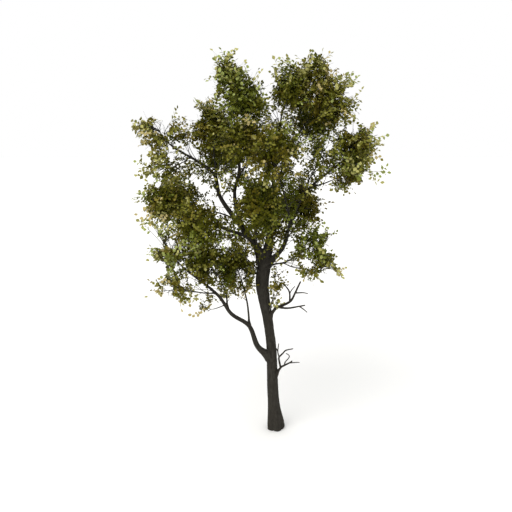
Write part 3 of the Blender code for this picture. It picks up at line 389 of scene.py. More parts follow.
LEAF_LEAN = math.radians(54.0)  # angle between a leaf and its shoot
AXIS_LOOSENESS = 0.16  # how loosely leaves point, and how loosely they face
FACING_LOOSENESS = 0.24
LEAF_SIZES = (0.84, 1.14)  # least and greatest share of the leaf's length
SIZES_ALONG = (0.85, 1.0, 0.92)  # at the start, middle and end of a shoot
SHORTEST_SHOOT = 0.1
BARE_START = 0.06  # share of a shoot below its first leaf
LEAF_PAST_BOX = 0.03  # how far a leaf may pass its shoot's own limit
MIDDLE_CLEAR = 0.02  # between bark and the middle of a leaf
TIP_CLEAR = 0.008  # and its tip
NEAR_BARK = 0.4  # limbs farther than this from all leaves don't count

# ------------------------------------------------- what sets one mass from another
# How full a mass is: twigs on its stem and twiglets on each twig.
USUAL_FILL = (15, 4)
FILL = {
    "foliage_spire": (11, 3), "foliage_right_inner": (8, 2), "foliage_right_arm_low": (10, 3),
    "foliage_upper_left": (10, 3), "foliage_upper_left_low": (8, 2),
    "foliage_low_left_outer": (10, 3), "foliage_low_left_tip": (9, 3),
    "foliage_hanging": (4, 1), "foliage_right_low": (10, 2), "foliage_right_low_tip": (9, 2),
    "foliage_trunk_sprig": (3, 1), "foliage_peak": (10, 3),
}
# Where the leaves of a mass keep to less than its space: shift and size of what they fill.
TRIMS = {
    "foliage_spire": ((0.04, 0.0, 0.0), (0.92, 0.95, 1.0)),
    "foliage_top_left": ((-0.10, 0.0, 0.0), (0.86, 1.0, 1.0)),
    "foliage_right_arm_low": ((-0.08, 0.0, 0.06), (0.90, 1.0, 0.92)),
    "foliage_mid_right": ((-0.06, 0.0, 0.0), (0.92, 1.0, 1.0)),
    "foliage_right_low_tip": ((0.0, 0.0, 0.06), (1.0, 0.9, 0.85)),
    "foliage_hanging": ((0.0, 0.0, 0.03), (0.95, 0.95, 0.95)),
    "foliage_left_high": ((0.08, 0.0, 0.0), (0.90, 1.0, 1.0)),
    "foliage_peak": ((0.04, 0.0, -0.05), (0.92, 1.0, 0.95)),
    "foliage_right_arm": ((-0.06, 0.0, 0.0), (0.92, 1.0, 1.0)),
    "foliage_high_left": ((0.04, 0.0, 0.04), (1.08, 1.0, 1.08)),
    "foliage_high_front": ((0.0, 0.0, 0.04), (1.06, 1.0, 1.10)),
    "foliage_front": ((0.0, 0.0, 0.0), (1.06, 1.0, 1.08)),
    "foliage_top_right": ((0.02, 0.0, 0.02), (1.05, 1.0, 1.04)),
    "foliage_low_left": ((0.0, 0.0, 0.0), (1.04, 1.0, 1.04)),
}
# Leafy side twigs straight off the limbs: first and last share of it, twigs per metre.
LIMB_TWIGS = {
    "trunk": (0.58, 0.98, 13.0), "bough_low_left": (0.66, 0.97, 6.0),
    "bough_low_left_riser": (0.20, 0.95, 8.0), "bough_low_left_upright": (0.55, 0.95, 9.0),
    "bough_low_left_side": (0.40, 0.95, 6.0), "bough_left_rise": (0.34, 0.96, 6.0),
    "bough_high_left": (0.20, 0.95, 9.0), "bough_right_rise": (0.34, 0.95, 7.0),
    "bough_left_level": (0.26, 0.96, 9.0), "bough_left_mid": (0.20, 0.95, 8.0),
    "bough_inner_left": (0.12, 0.96, 8.0), "bough_top_left": (0.10, 0.95, 9.0),
    "bough_high_front": (0.10, 0.95, 9.0), "bough_front": (0.25, 0.95, 9.0),
    "bough_back": (0.35, 0.95, 8.0), "bough_back_left": (0.35, 0.95, 8.0),
    "bough_mid_front": (0.20, 0.95, 9.0), "bough_mid_back": (0.30, 0.95, 9.0),
    "bough_right_inner": (0.20, 0.95, 8.0), "bough_mid_right": (0.20, 0.95, 9.0),
    "bough_right_low": (0.62, 0.95, 6.0), "bough_right_low_outer": (0.45, 0.95, 6.0),
    "bough_leader_right": (0.12, 0.95, 9.0), "bough_back_right": (0.20, 0.95, 8.0),
    "bough_peak": (0.30, 0.95, 6.0), "bough_left_slender": (0.35, 0.95, 7.0),
}
# Twigs that reach on their own out of the crown or between its masses: the limb or
# mass that carries each, the share of its line where it starts, and the place of its tip.
REACHES = {
    "foliage_upper_left": (
        (0.9, -3.33, 0.35, 7.49), (0.85, -3.25, 0.25, 7.37), (0.8, -2.88, 0.5, 7.57),
        (0.15, -2.18, 0.3, 7.5), (0.1, -1.99, 0.45, 7.42), (0.7, -3.22, 0.3, 7.36),
        (0.6, -3.06, 0.25, 7.19), (0.4, -2.73, 0.25, 6.94), (0.3, -2.56, 0.3, 6.87),
        (0.9, -3.31, 0.3, 7.39), (0.75, -3.14, 0.2, 7.22), (0.85, -3.29, 0.3, 7.32),
        (0.85, -3.3, 0.3, 7.41)),
    "foliage_high_left": (
        (0.8, -1.83, 0.5, 7.93), (0.8, -1.62, 0.45, 7.99), (0.5, -1.78, 0.4, 7.69),
        (0.75, -1.84, 0.35, 7.89), (0.85, -1.65, 0.3, 7.97), (0.9, -1.48, 0.15, 8.04),
        (0.5, -1.1, 0.81, 6.66), (0.5, -1.17, 0.76, 8.04)),
    "foliage_top_middle": (
        (0.9, 0.18, 0.2, 8.86), (0.9, -0.06, 0.3, 8.66), (0.15, 0.0, -0.2, 7.75),
        (0.25, 0.13, -0.25, 7.65), (0.3, 0.26, -0.2, 7.8), (0.5, -0.39, 1.07, 7.79),
        (0.9, 0.37, 0.1, 8.74)),
    "foliage_top_right": (
        (0.8, 1.71, 0.0, 8.44), (0.7, 1.54, 0.15, 8.4), (0.7, 1.78, -0.1, 7.98),
        (0.5, 1.71, 0.1, 7.61), (0.5, 1.43, 0.0, 7.7), (0.35, 1.49, -0.1, 7.52),
        (0.25, 1.29, 0.0, 7.45), (0.8, 1.58, 0.0, 8.46), (0.7, 1.41, 0.05, 8.4),
        (0.45, 1.57, -0.1, 7.69), (0.9, 1.52, -0.2, 7.59), (0.5, 1.12, -1.02, 7.82),
        (0.5, 0.44, -0.79, 7.94)),
    "foliage_right_arm": (
        (0.8, 2.27, -0.1, 7.28), (0.6, 2.25, -0.15, 7.02), (0.7, 2.04, 0.0, 7.4),
        (0.15, 1.11, -0.2, 6.9), (0.3, 1.64, -0.1, 7.58), (0.2, 1.91, -0.3, 6.63),
        (0.5, 1.89, 0.77, 6.67), (0.3, 1.93, -0.2, 6.62)),
    "foliage_right_arm_low": (
        (0.8, 2.34, -0.4, 6.44), (0.7, 2.15, -0.45, 6.54), (0.3, 1.21, -0.5, 6.09),
        (0.4, 1.38, -0.35, 6.04), (0.15, 1.3, -0.4, 6.31), (0.2, 0.95, -0.5, 6.52),
        (0.3, 1.28, -0.4, 6.07), (0.5, 1.45, -0.98, 6.65), (0.8, 1.62, -0.5, 6.15),
        (0.9, 2.17, -0.4, 6.4)),
    "foliage_upper_left_low": (
        (0.8, -3.21, 0.2, 6.57), (0.8, -3.07, 0.1, 6.38), (0.5, -2.86, 0.25, 6.49),
        (0.7, -2.93, 0.1, 6.04)),
    "foliage_left_high": (
        (0.7, -3.02, -0.6, 5.37), (0.6, -2.84, -0.5, 5.19), (0.4, -2.51, -0.7, 5.19),
        (0.8, -3.12, -0.6, 5.95)),
    "trunk": (
        (0.93, -0.18, 0.2, 7.67), (0.95, 0.1, 0.0, 7.4), (0.9, -0.02, 0.35, 7.54),
        (0.88, -0.32, -0.1, 7.37), (0.96, -0.32, -0.1, 7.6), (0.97, -0.21, 0.1, 7.74),
        (0.98, -0.1, 0.0, 7.9), (0.95, -0.15, -0.2, 7.5), (0.93, 0.05, -0.1, 7.41),
        (0.97, -0.43, -0.15, 7.52), (0.98, -0.28, -0.15, 7.39), (0.42, 0.08, -0.2, 3.99),
        (0.39, 0.05, -0.06, 3.43), (0.4, 0.11, -0.08, 3.71)),
    "bough_right_rise": (
        (0.3, 0.52, 0.0, 5.03), (0.25, 0.34, -0.3, 4.82), (0.62, 0.43, -0.3, 6.45),
        (0.68, 0.63, -0.3, 6.41), (0.12, -0.11, -0.35, 4.91), (0.22, 0.16, -0.3, 5.19),
        (0.2, 0.5, -0.2, 5.03), (0.5, 0.27, -0.3, 6.34), (0.3, 0.04, -0.4, 4.85)),
    "bough_right_low": (
        (0.6, 0.62, -0.5, 5.03), (0.75, 0.74, -0.6, 4.9), (0.5, 0.47, -0.5, 4.43),
        (0.85, 0.64, -0.6, 4.74), (0.6, 0.56, -0.5, 4.32), (0.35, 0.14, -0.4, 4.59),
        (0.8, 0.53, -0.5, 4.62), (0.85, 0.78, -0.6, 5.24), (0.8, 0.87, -0.6, 5.28)),
    "bough_right_low_outer": ((0.5, 0.56, -0.6, 4.32), (0.4, 0.78, -0.6, 4.46)),
    "bough_low_left_upright": (
        (0.9, -1.14, 0.1, 3.5), (0.95, -0.92, 0.2, 3.65), (0.95, -0.68, 0.1, 3.6),
        (0.9, -0.57, 0.1, 3.95), (0.9, -1.48, 0.1, 4.07), (0.85, -1.32, 0.1, 3.8),
        (0.8, -1.51, 0.0, 3.66)),
    "bough_low_left": (
        (0.72, -1.46, -0.3, 3.76), (0.66, -1.26, -0.2, 3.6), (0.8, -2.51, -0.4, 4.24),
        (0.84, -2.37, -0.4, 4.36), (0.74, -2.02, -0.45, 3.78), (0.9, -1.44, -0.3, 3.44)),
    "bough_left_level": (
        (0.3, -0.77, -0.3, 4.38), (0.2, -0.59, -0.2, 4.21), (0.4, -0.95, -0.3, 4.47),
        (0.46, -1.32, -0.5, 4.92), (0.4, -1.16, -0.5, 4.97), (0.34, -1.01, -0.5, 4.87),
        (0.25, -0.83, -0.4, 4.9), (0.15, -0.65, -0.3, 4.68), (0.1, -0.49, -0.3, 4.89),
        (0.45, -1.26, -0.45, 4.82)),
    "foliage_top_left": (
        (0.3, -1.35, -0.25, 7.88), (0.45, -1.41, -0.3, 8.11), (0.25, -0.37, -0.4, 7.91),
        (0.2, -0.45, -0.4, 7.64)),
    "bough_inner_left": (
        (0.82, -1.26, -0.1, 7.71), (0.88, -1.52, 0.0, 7.81), (0.5, -1.23, -0.5, 6.2),
        (0.6, -1.37, -0.5, 6.06), (0.5, -1.22, -0.4, 6.16)),
    "bough_top_left": (
        (0.85, -0.47, -0.45, 7.76), (0.6, -0.56, -0.4, 7.47), (0.7, -0.19, -0.2, 7.63)),
    "bough_leader_right": ((0.75, 0.26, 0.1, 7.48), (0.6, 0.49, 0.1, 6.96)),
    "foliage_right_inner": (
        (0.6, 0.62, -0.5, 6.95), (0.8, 0.79, -0.5, 6.93), (0.9, 0.94, -0.45, 7.03),
        (0.3, 0.84, -0.5, 6.74), (0.4, 0.54, -0.5, 6.91), (0.95, 1.01, -0.4, 7.15),
        (0.9, 0.94, -0.5, 7.01), (0.3, 0.53, -0.6, 6.9), (0.3, 0.56, -0.5, 6.91)),
    "bough_right_inner": (
        (0.8, 0.57, -0.4, 6.75), (0.7, 0.22, -0.5, 6.37), (0.8, 0.4, -0.4, 6.64)),
    "bough_left_rise": (
        (0.8, -2.28, 0.3, 6.49), (0.76, -2.15, 0.35, 6.34), (0.82, -2.0, 0.3, 6.6),
        (0.7, -1.94, 0.3, 6.33), (0.64, -1.78, 0.3, 6.17), (0.6, -1.62, 0.25, 6.08),
        (0.7, -1.54, 0.2, 6.32), (0.74, -2.21, 0.2, 6.16), (0.84, -2.14, 0.35, 7.47),
        (0.86, -2.25, 0.3, 7.27), (0.88, -2.07, 0.3, 7.21), (0.8, -2.32, 0.3, 6.65),
        (0.72, -2.11, 0.3, 6.07), (0.78, -2.24, 0.3, 6.33), (0.84, -2.17, 0.3, 6.37),
        (0.8, -2.26, 0.2, 6.04), (0.9, -2.32, 0.3, 6.44), (0.86, -2.29, 0.3, 6.9)),
    "foliage_low_left_outer": (
        (0.9, -2.87, -0.3, 5.31), (0.7, -2.73, -0.35, 5.23), (0.5, -2.64, -0.4, 5.08),
        (0.9, -2.84, -0.3, 5.4), (0.6, -2.51, -0.3, 5.4), (0.8, -2.87, -0.5, 4.67),
        (0.7, -3.05, -0.4, 5.35), (0.8, -2.79, -0.4, 5.26)),
    "foliage_low_left": (
        (0.8, -2.59, -0.2, 5.29), (0.7, -2.46, -0.2, 5.17), (0.6, -2.35, -0.25, 5.05),
        (0.1, -2.26, -0.3, 4.21), (0.5, -1.27, -1.13, 4.49)),
    "bough_low_left_riser": ((0.7, -2.12, -0.25, 4.29), (0.5, -1.98, -0.3, 4.14)),
    "bough_low_left_side": (
        (0.3, -2.12, -0.5, 4.01), (0.5, -2.29, -0.55, 3.77), (0.8, -2.75, -0.6, 3.97),
        (0.6, -1.91, -0.5, 3.58)),
    "bough_mid_front": (
        (0.2, -0.36, -0.5, 5.1), (0.1, -0.58, -0.5, 5.17), (0.8, -0.35, -0.9, 6.34)),
    "bough_mid_right": ((0.2, 0.03, 0.0, 5.01), (0.6, 0.41, 0.1, 5.15), (0.8, 0.62, 0.2, 5.2)),
    "foliage_mid_right": ((0.3, 0.8, 0.1, 5.11),),
    "bough_front": ((0.45, -0.68, -0.9, 6.59), (0.55, -0.49, -0.9, 6.51)),
    "foliage_mid_front": (
        (0.6, -0.24, -1.0, 6.56), (0.5, -0.75, -1.0, 6.4), (0.5, -0.54, -1.1, 6.43),
        (0.5, 0.08, -0.96, 6.39), (0.5, 0.28, -1.18, 5.58)),
    "bough_right_arm_low": (
        (0.3, 0.94, -0.4, 6.53), (0.6, 1.07, -0.4, 6.64), (0.25, 0.66, -0.35, 6.46)),
    "foliage_low_left_inner": (
        (0.6, -0.59, 0.2, 3.8), (0.4, -0.54, 0.2, 3.55), (0.5, -0.52, 0.2, 3.57)),
    "bough_left_slender": ((0.3, -0.61, -0.1, 4.11),),
    "foliage_right_low_tip": (
        (0.4, 0.72, -0.75, 4.25), (0.5, 0.77, -0.8, 4.2), (0.9, 1.38, -0.8, 4.29),
        (0.25, 0.48, -0.7, 4.19)),
    "foliage_low_left_tip": ((0.7, -2.4, -0.4, 4.85), (0.8, -2.39, -0.5, 4.87)),
    "foliage_right_low": ((0.3, 0.39, -0.6, 4.74), (0.2, 0.03, -0.4, 4.31)),
    "foliage_peak": ((0.7, 1.09, 0.0, 8.79),),
    "foliage_back_right": ((0.5, 0.4, 1.08, 8.13), (0.5, -0.03, 1.02, 7.08)),
    "foliage_mid_back": (
        (0.5, -0.47, 0.86, 6.31), (0.5, -0.39, 0.9, 4.25), (0.5, 0.65, 1.29, 4.92),
        (0.5, -1.0, 1.23, 4.24), (0.5, -0.27, 1.6, 5.98), (0.5, 0.72, 1.35, 5.74)),
    "foliage_front": (
        (0.5, -0.33, -1.74, 6.31), (0.5, 0.59, -1.74, 6.19), (0.3, -0.62, -1.0, 6.61)),
    "foliage_high_front": ((0.5, -0.7, -1.24, 7.66), (0.5, -1.03, -1.51, 6.91)),
    "foliage_back_left": ((0.5, -1.61, 1.08, 4.51),),
    "foliage_back": ((0.5, -0.15, 1.83, 7.01),),
}
# Places where the crown is open: a point of each, and its radius.
CLEARINGS = (
    (-1.29, 0.0, 5.62, 0.16), (-0.88, 0.0, 5.85, 0.09), (-1.14, -0.4, 4.83, 0.09),
    (-2.4, -0.4, 4.83, 0.11), (-1.99, -0.3, 3.95, 0.11), (-1.52, -0.2, 3.68, 0.12),
    (0.63, -0.3, 6.74, 0.12), (1.21, -0.6, 4.97, 0.13), (1.9, -0.4, 6.14, 0.18),
    (-2.66, -0.3, 4.28, 0.11), (-2.51, -0.6, 3.57, 0.18), (-1.46, -0.1, 8.67, 0.11),
    (-1.42, -0.1, 8.3, 0.11), (-0.26, -0.3, 8.17, 0.13), (0.52, 0.4, 8.93, 0.11),
    (-1.96, -0.3, 4.0, 0.11), (1.56, 0.0, 7.32, 0.09), (-2.6, 0.4, 7.38, 0.21),
    (-2.71, -0.3, 4.85, 0.15), (-1.79, -0.3, 3.73, 0.15), (-1.9, -0.4, 3.35, 0.12),
    (1.02, -0.7, 4.19, 0.12), (1.12, -0.6, 4.83, 0.12), (1.9, -0.4, 6.35, 0.1),
    (1.65, -0.1, 7.35, 0.13), (-1.11, -0.6, 5.57, 0.1), (-0.63, 0.0, 4.39, 0.09),
    (-0.87, 0.1, 4.02, 0.09), (-1.99, 0.3, 6.85, 0.12), (-3.09, -0.1, 5.64, 0.1),
    (-1.66, -0.3, 3.1, 0.1), (2.14, -0.3, 7.27, 0.13), (-1.85, 0.2, 7.63, 0.14),
    (-1.69, 0.0, 5.98, 0.12), (-2.99, 0.3, 6.85, 0.11), (-1.44, -0.1, 8.52, 0.11),
    (0.24, -0.5, 4.87, 0.12), (-2.8, -0.4, 5.1, 0.12), (-3.02, 0.3, 7.65, 0.14),
    (-2.82, -0.5, 3.61, 0.12), (1.32, -0.6, 4.78, 0.12), (-0.58, 0.0, 8.55, 0.11),
    (-1.91, 0.2, 6.23, 0.1), (-0.84, -0.5, 6.06, 0.09), (1.53, 0.0, 8.11, 0.12),
    (-1.11, -0.5, 5.8, 0.09), (0.63, -0.5, 4.43, 0.1), (-2.13, -0.4, 3.33, 0.1),
    (-1.04, 0.0, 3.41, 0.1), (-0.23, 0.2, 8.42, 0.12), (-2.43, 0.3, 6.72, 0.1),
    (-2.38, -0.4, 3.43, 0.14), (0.94, -0.5, 5.14, 0.08), (0.41, -0.5, 6.54, 0.11),
    (-1.84, 0.2, 6.11, 0.1), (1.33, -0.6, 4.46, 0.1), (-1.47, 0.0, 8.13, 0.1),
    (-2.5, -0.5, 3.75, 0.12), (-1.87, 0.2, 6.7, 0.1), (-0.82, 0.0, 8.75, 0.1),
    (-2.85, -0.5, 4.5, 0.1), (-2.75, 0.3, 7.69, 0.12), (-2.96, 0.2, 6.66, 0.1),
    (0.36, -0.5, 4.36, 0.11), (1.71, -0.3, 6.1, 0.12), (-1.69, -0.4, 3.72, 0.1),
    (0.89, -0.4, 5.96, 0.1), (1.04, -0.4, 6.29, 0.1), (-0.07, 0.2, 7.61, 0.1),
    (-2.85, 0.1, 6.2, 0.11), (1.22, 0.3, 8.68, 0.12), (-2.14, -0.5, 3.95, 0.09),
    (0.11, -0.4, 4.57, 0.09), (1.0, 0.4, 8.93, 0.09), (1.08, -0.2, 6.96, 0.09),
    (-1.56, 0.0, 5.82, 0.1), (0.65, -0.6, 3.92, 0.1), (1.17, -0.7, 4.24, 0.1),
    (1.79, 0.0, 8.07, 0.11), (-2.72, 0.1, 6.1, 0.09), (-3.04, -0.3, 5.51, 0.09),
    (-1.37, 0.0, 8.94, 0.09), (-2.59, -0.5, 4.2, 0.1), (-0.82, 0.1, 3.97, 0.08),
    (-2.17, 0.2, 6.57, 0.08), (2.09, -0.3, 6.52, 0.1), (0.98, -0.3, 5.63, 0.08),
    (-1.98, 0.3, 7.52, 0.1), (-2.67, 0.3, 7.56, 0.11), (-2.79, -0.5, 4.39, 0.1),
    (1.9, 0.0, 7.92, 0.09), (-1.27, -0.5, 5.58, 0.09), (1.93, -0.1, 7.45, 0.09),
    (-1.67, 0.3, 8.0, 0.1), (-1.11, -0.3, 6.34, 0.07),
)
OPENING_EDGE = (0.45, 1.45)  # least and greatest share of the radius round its edge
EDGE_SIZE = 0.16  # how coarse the round edge is
VIEWED_FROM = (-0.495, -14.354, 8.286)  # the camera, which the openings run towards

# -------------------------------------------------------------- finishes and stage
# Bark and dead wood: share of lichen, scale of the streaks and strength of the bump.
BARK_FINISH = (0.35, 58.0, 0.55)
DEAD_FINISH = (0.15, 90.0, 0.35)
BARK_GLOSS = 0.15
BUMP_DEPTH = 0.004
STREAKS_DRAWN_OUT = (1.0, 1.0, 0.16)
STREAKS = {"Detail": 5.0, "Roughness": 0.62}
BLOTCHES = {"Scale": 5.5, "Detail": 3.0}
CRUST = {"Scale": 16.0, "Detail": 6.0, "Roughness": 0.7}
# Ranges of noise and what each is mapped to.
STREAKS_DARKEN = (0.40, 0.64, 0.0, 0.75)
BLOTCHES_DARKEN = (0.45, 0.75, 0.0, 0.5)
CRUST_SHOWS = (0.56, 0.66, 0.0, 1.0)
STREAKS_ROUGHEN = (0.3, 0.7, 0.78, 0.96)
WEATHERED_BARK_SOCKETS = (
    ("INPUT", "Place", "Vector"), ("INPUT", "Furrow", "Float"),
    ("INPUT", "Plate Colour", "Color"), ("INPUT", "Furrow Colour", "Color"),
    ("INPUT", "Lichen Colour", "Color"), ("INPUT", "Lichen Share", "Float"),
    ("INPUT", "Streak Scale", "Float"), ("OUTPUT", "Color", "Color"),
    ("OUTPUT", "Roughness", "Float"), ("OUTPUT", "Height", "Float"),
)
NODE_STEP = 200  # between nodes of a material, both ways
TWIG_ROUGHNESS = 0.85
FLOOR_ROUGHNESS = 0.9
WHITE = (1.0, 1.0, 1.0, 1.0)
SUN_COLOUR = (1.0, 0.98, 0.94)
SUN_TURN = tuple(map(math.radians, (42.0, -8.0, -32.0)))
VIEW_TURN = (math.radians(75.0), 0.0, 0.0)


# ------------------------------------------------------------------ lines and noise
def unit(vectors):
    """Vectors at length one, over the last axis."""
    return vectors / np.linalg.norm(vectors, axis=-1, keepdims=True)


def smooth_line(stops, step):
    """Points at even steps on the uniform Catmull-Rom curve through the stops.

    Between stops b and c, with a before and d after, the curve is half of
    2b + (c - a)t + (2a - 5b + 4c - d)t^2 + (3b - a - 3c + d)t^3.
    """
    stops = np.asarray(stops, dtype=float)
    knots = np.vstack((2.0 * stops[0] - stops[1], stops, 2.0 * stops[-1] - stops[-2]))
    a, b, c, d = (knots[start:len(knots) - 3 + start, None, :] for start in range(4))
    share = np.linspace(0.0, 1.0, LINE_CUTS, endpoint=False)[None, :, None]
    linear = (c - a) * share
    square = (2.0 * a - 5.0 * b + 4.0 * c - d) * share ** 2
    cube = (3.0 * b - a - 3.0 * c + d) * share ** 3
    fine = np.vstack(((0.5 * (2.0 * b + linear + square + cube)).reshape(-1, 3), stops[-1:]))
    along = lengths_along(fine)
    cuts = np.linspace(0.0, along[-1], max(3, int(round(along[-1] / step)) + 1))
    return np.column_stack([np.interp(cuts, along, fine[:, axis]) for axis in range(3)])


def lengths_along(line):
    """Distance from the line's start to each of its points."""
    return np.concatenate(([0.0], np.cumsum(np.linalg.norm(np.diff(line, axis=0), axis=1))))


def point_at_height(line, height):
    """The first point of the line that lies at a height."""
    above = np.nonzero(line[:, 2] >= height)[0]
    last = max(int(above[0]) if len(above) else len(line) - 1, 1)
    low, high = line[last - 1], line[last]
    return low + np.clip((height - low[2]) / (high[2] - low[2]), 0.0, 1.0) * (high - low)


def frames(line):
    """Direction, side and second side at every point of a line, without twist.

    The side is one fixed direction, the one least along the line, made square to it.
    """
    ahead = unit(np.gradient(line, axis=0))
    _, directions = np.linalg.eigh(ahead.T @ ahead)
    fixed = directions[:, 0]
    if abs(ahead[:, 2].mean()) > UPRIGHT:
        fixed = np.array((1.0, 0.0, 0.0))
    side = unit(fixed - ahead * (ahead @ fixed)[:, None])
    return ahead, side, np.cross(ahead, side)


NOISE_CELLS = 32
NOISE_TABLE = np.random.default_rng(SEED).random((NOISE_CELLS,) * 3)
CORNERS = np.array([(corner & 1, corner >> 1 & 1, corner >> 2) for corner in range(8)])


def noise(places):
    """Smooth noise from 0 to 1: corner values of a cubic lattice, eased by 3t^2 - 2t^3."""
    low = np.floor(places).astype(int)
    share = places - low
    share = share * share * (3.0 - 2.0 * share)
    total = np.zeros(places.shape[:-1])
    for step in CORNERS:
        cell = (low + step) % NOISE_CELLS
        weight = np.prod(np.where(step, share, 1.0 - share), axis=-1)
        total += weight * NOISE_TABLE[cell[..., 0], cell[..., 1], cell[..., 2]]
    return total


# -------------------------------------------------------------------------- meshes
def make_piece(name, points, blocks, materials, tints=None):
    """A smooth mesh piece from its points and blocks of faces, one row of corners each."""
    blocks = [np.asarray(block, dtype=np.int32) for block in blocks if len(block)]
    corners = np.concatenate([block.ravel() for block in blocks])
    counts = np.concatenate([np.full(len(block), block.shape[1]) for block in blocks])
    starts = np.concatenate(([0], np.cumsum(counts)[:-1])).astype(np.int32)
    mesh = bpy.data.meshes.new(name)
    mesh.vertices.add(len(points))
    mesh.vertices.foreach_set("co", np.asarray(points, dtype=np.float32).ravel())
    mesh.loops.add(len(corners))
    mesh.loops.foreach_set("vertex_index", corners)
    mesh.polygons.add(len(starts))
    mesh.polygons.foreach_set("loop_start", starts)
    if tints is not None:
        mesh.polygons.foreach_set("material_index", np.asarray(tints, dtype=np.int32))
    for finish in materials:
        mesh.materials.append(finish)
    mesh.update(calc_edges=True)
    if mesh.validate():
        raise RuntimeError(name + " has faulty faces")
    mesh.shade_smooth()
    piece = bpy.data.objects.new(name, mesh)
    bpy.context.scene.collection.objects.link(piece)
    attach(piece, "root")
    return piece


def add_attribute(piece, name, kind, values):
    """Keep a value for each point of the piece, for its material to read."""
    made = piece.data.attributes.new(name, kind, "POINT")
    field = "vector" if kind == "FLOAT_VECTOR" else "value"
    made.data.foreach_set(field, np.asarray(values, dtype=np.float32).ravel())


def tube_faces(rings, sides):
    """Blocks of faces of a closed tube: its wall as squares, and a cap at each end."""
    row, column = np.meshgrid(np.arange(rings - 1), np.arange(sides), indexing="ij")
    after = (column + 1) % sides
    low, high = row * sides, (row + 1) * sides
    wall = np.stack((low + column, low + after, high + after, high + column), axis=-1)
    foot = np.arange(sides)[::-1][None, :]
    top = (rings - 1) * sides + np.arange(sides)[None, :]
    return [wall.reshape(-1, 4), foot, top]


def joined(parts):
    """Points and blocks of faces of several parts as those of one."""
    points, blocks, first = [], [], 0
    for part_points, part_blocks in parts:
        points.append(part_points)
        blocks.extend(block + first for block in part_blocks)
        first += len(part_points)
    return np.concatenate(points), blocks


def repeated(blocks, count, size):
    """Blocks of faces of a shape of some points, once more for each of its copies."""
    first = np.arange(count)[:, None, None] * size
    return [(first + block[None]).reshape(-1, block.shape[1]) for block in blocks]


# --------------------------------------------------------------------------- limbs
def flared_radii(height):
    """The trunk's radius by its table, and its flare, which fades as exp(-(z/h)^2)."""
    heights, radii = zip(*TRUNK_RADII)
    fade = np.exp(-(height / FLARE_HEIGHT) ** 2)
    return np.interp(height, heights, radii) + FLARE_SWELL * fade, fade


def trunk_radii(height, turn, lobe_depth):
    """The trunk's flared radius with the lobes of the flare and the tucked foot.

    The lobes follow |cos| of half their angle, so that the grooves are narrow.
    """
    plain, fade = flared_radii(height)
    lobes = 2.0 * np.abs(np.cos(0.5 * FLARE_LOBES * (turn - LOBE_TURN))) ** LOBE_SHARPNESS - 1.0
    tuck = FOOT_TUCK * np.clip(1.0 - height / FOOT_ROUNDING, 0.0, 1.0) ** 2
    return plain * (1.0 + lobe_depth * fade * lobes) * (1.0 - tuck)


def plain_radii(name, line):
    """A limb's radius at each point of its line, without lobes, collar or relief."""
    if name == "trunk":
        return flared_radii(line[:, 2])[0]
    _, _, root_radius, tip_radius, _ = BOUGHS[name]
    return tapered_radii(line, root_radius, tip_radius, BOUGH_TAPER)


def tapered_radii(line, root_radius, tip_radius, power):
    """Radii that run from root to tip with a power of the share of the line's length."""
    share = lengths_along(line) / lengths_along(line)[-1]
    return root_radius + (tip_radius - root_radius) * share ** power


def lay_out_limbs(step):
    """Middle line and radii of the trunk and of every bough, parents first."""
    line = smooth_line(TRUNK_LINE, step)
    limbs = {"trunk": (line, plain_radii("trunk", line))}
    for name, (parent, height, _, _, stops) in BOUGHS.items():
        start = point_at_height(limbs[parent][0], height)
        line = smooth_line((tuple(start),) + stops, step)
        limbs[name] = (line, plain_radii(name, line))
    return limbs


def bark_gap(points, line, radii):
    """How far outside a limb's bark the points are, from its middle line and radii."""
    apart = np.linalg.norm(points[..., None, :] - line, axis=-1)
    return (apart - radii).min(axis=-1)


def bark_relief(turn, along, radius, settings):
    """Relief of the bark: how far it stands out, and how deep in a furrow each point is.

    Noise is read on the limb rolled out round its own middle line and drawn out along
    it.  Furrows run where the broad noise crosses one half, and fine noise adds flakes.
    """
    width, length = settings.plate_width, settings.plate_length
    scale = radius / width
    rolled = np.stack((np.cos(turn) * scale, np.sin(turn) * scale, along / length), axis=-1)
    broad, second, flakes, swells = (
        noise(rolled * finer + shift)
        for finer, shift in (FURROW_NOISE, CRACK_NOISE, FLAKE_NOISE, SWELL_NOISE))
    furrow = np.exp(-((broad - 0.5) / FURROW_BAND) ** 2)
    crack = np.exp(-((second - 0.5) / CRACK_BAND) ** 2)
    depth = settings.relief * np.clip(radius / FULL_RELIEF_RADIUS, LEAST_RELIEF, 1.0)
    out = depth * (SWELL_HEIGHT * (swells - 0.5) - FURROW_DEPTH * furrow
                   - CRACK_DEPTH * crack + FLAKE_HEIGHT * (flakes - 0.5))
    return out, np.clip(furrow + CRACK_SHADE * crack, 0.0, 1.0)


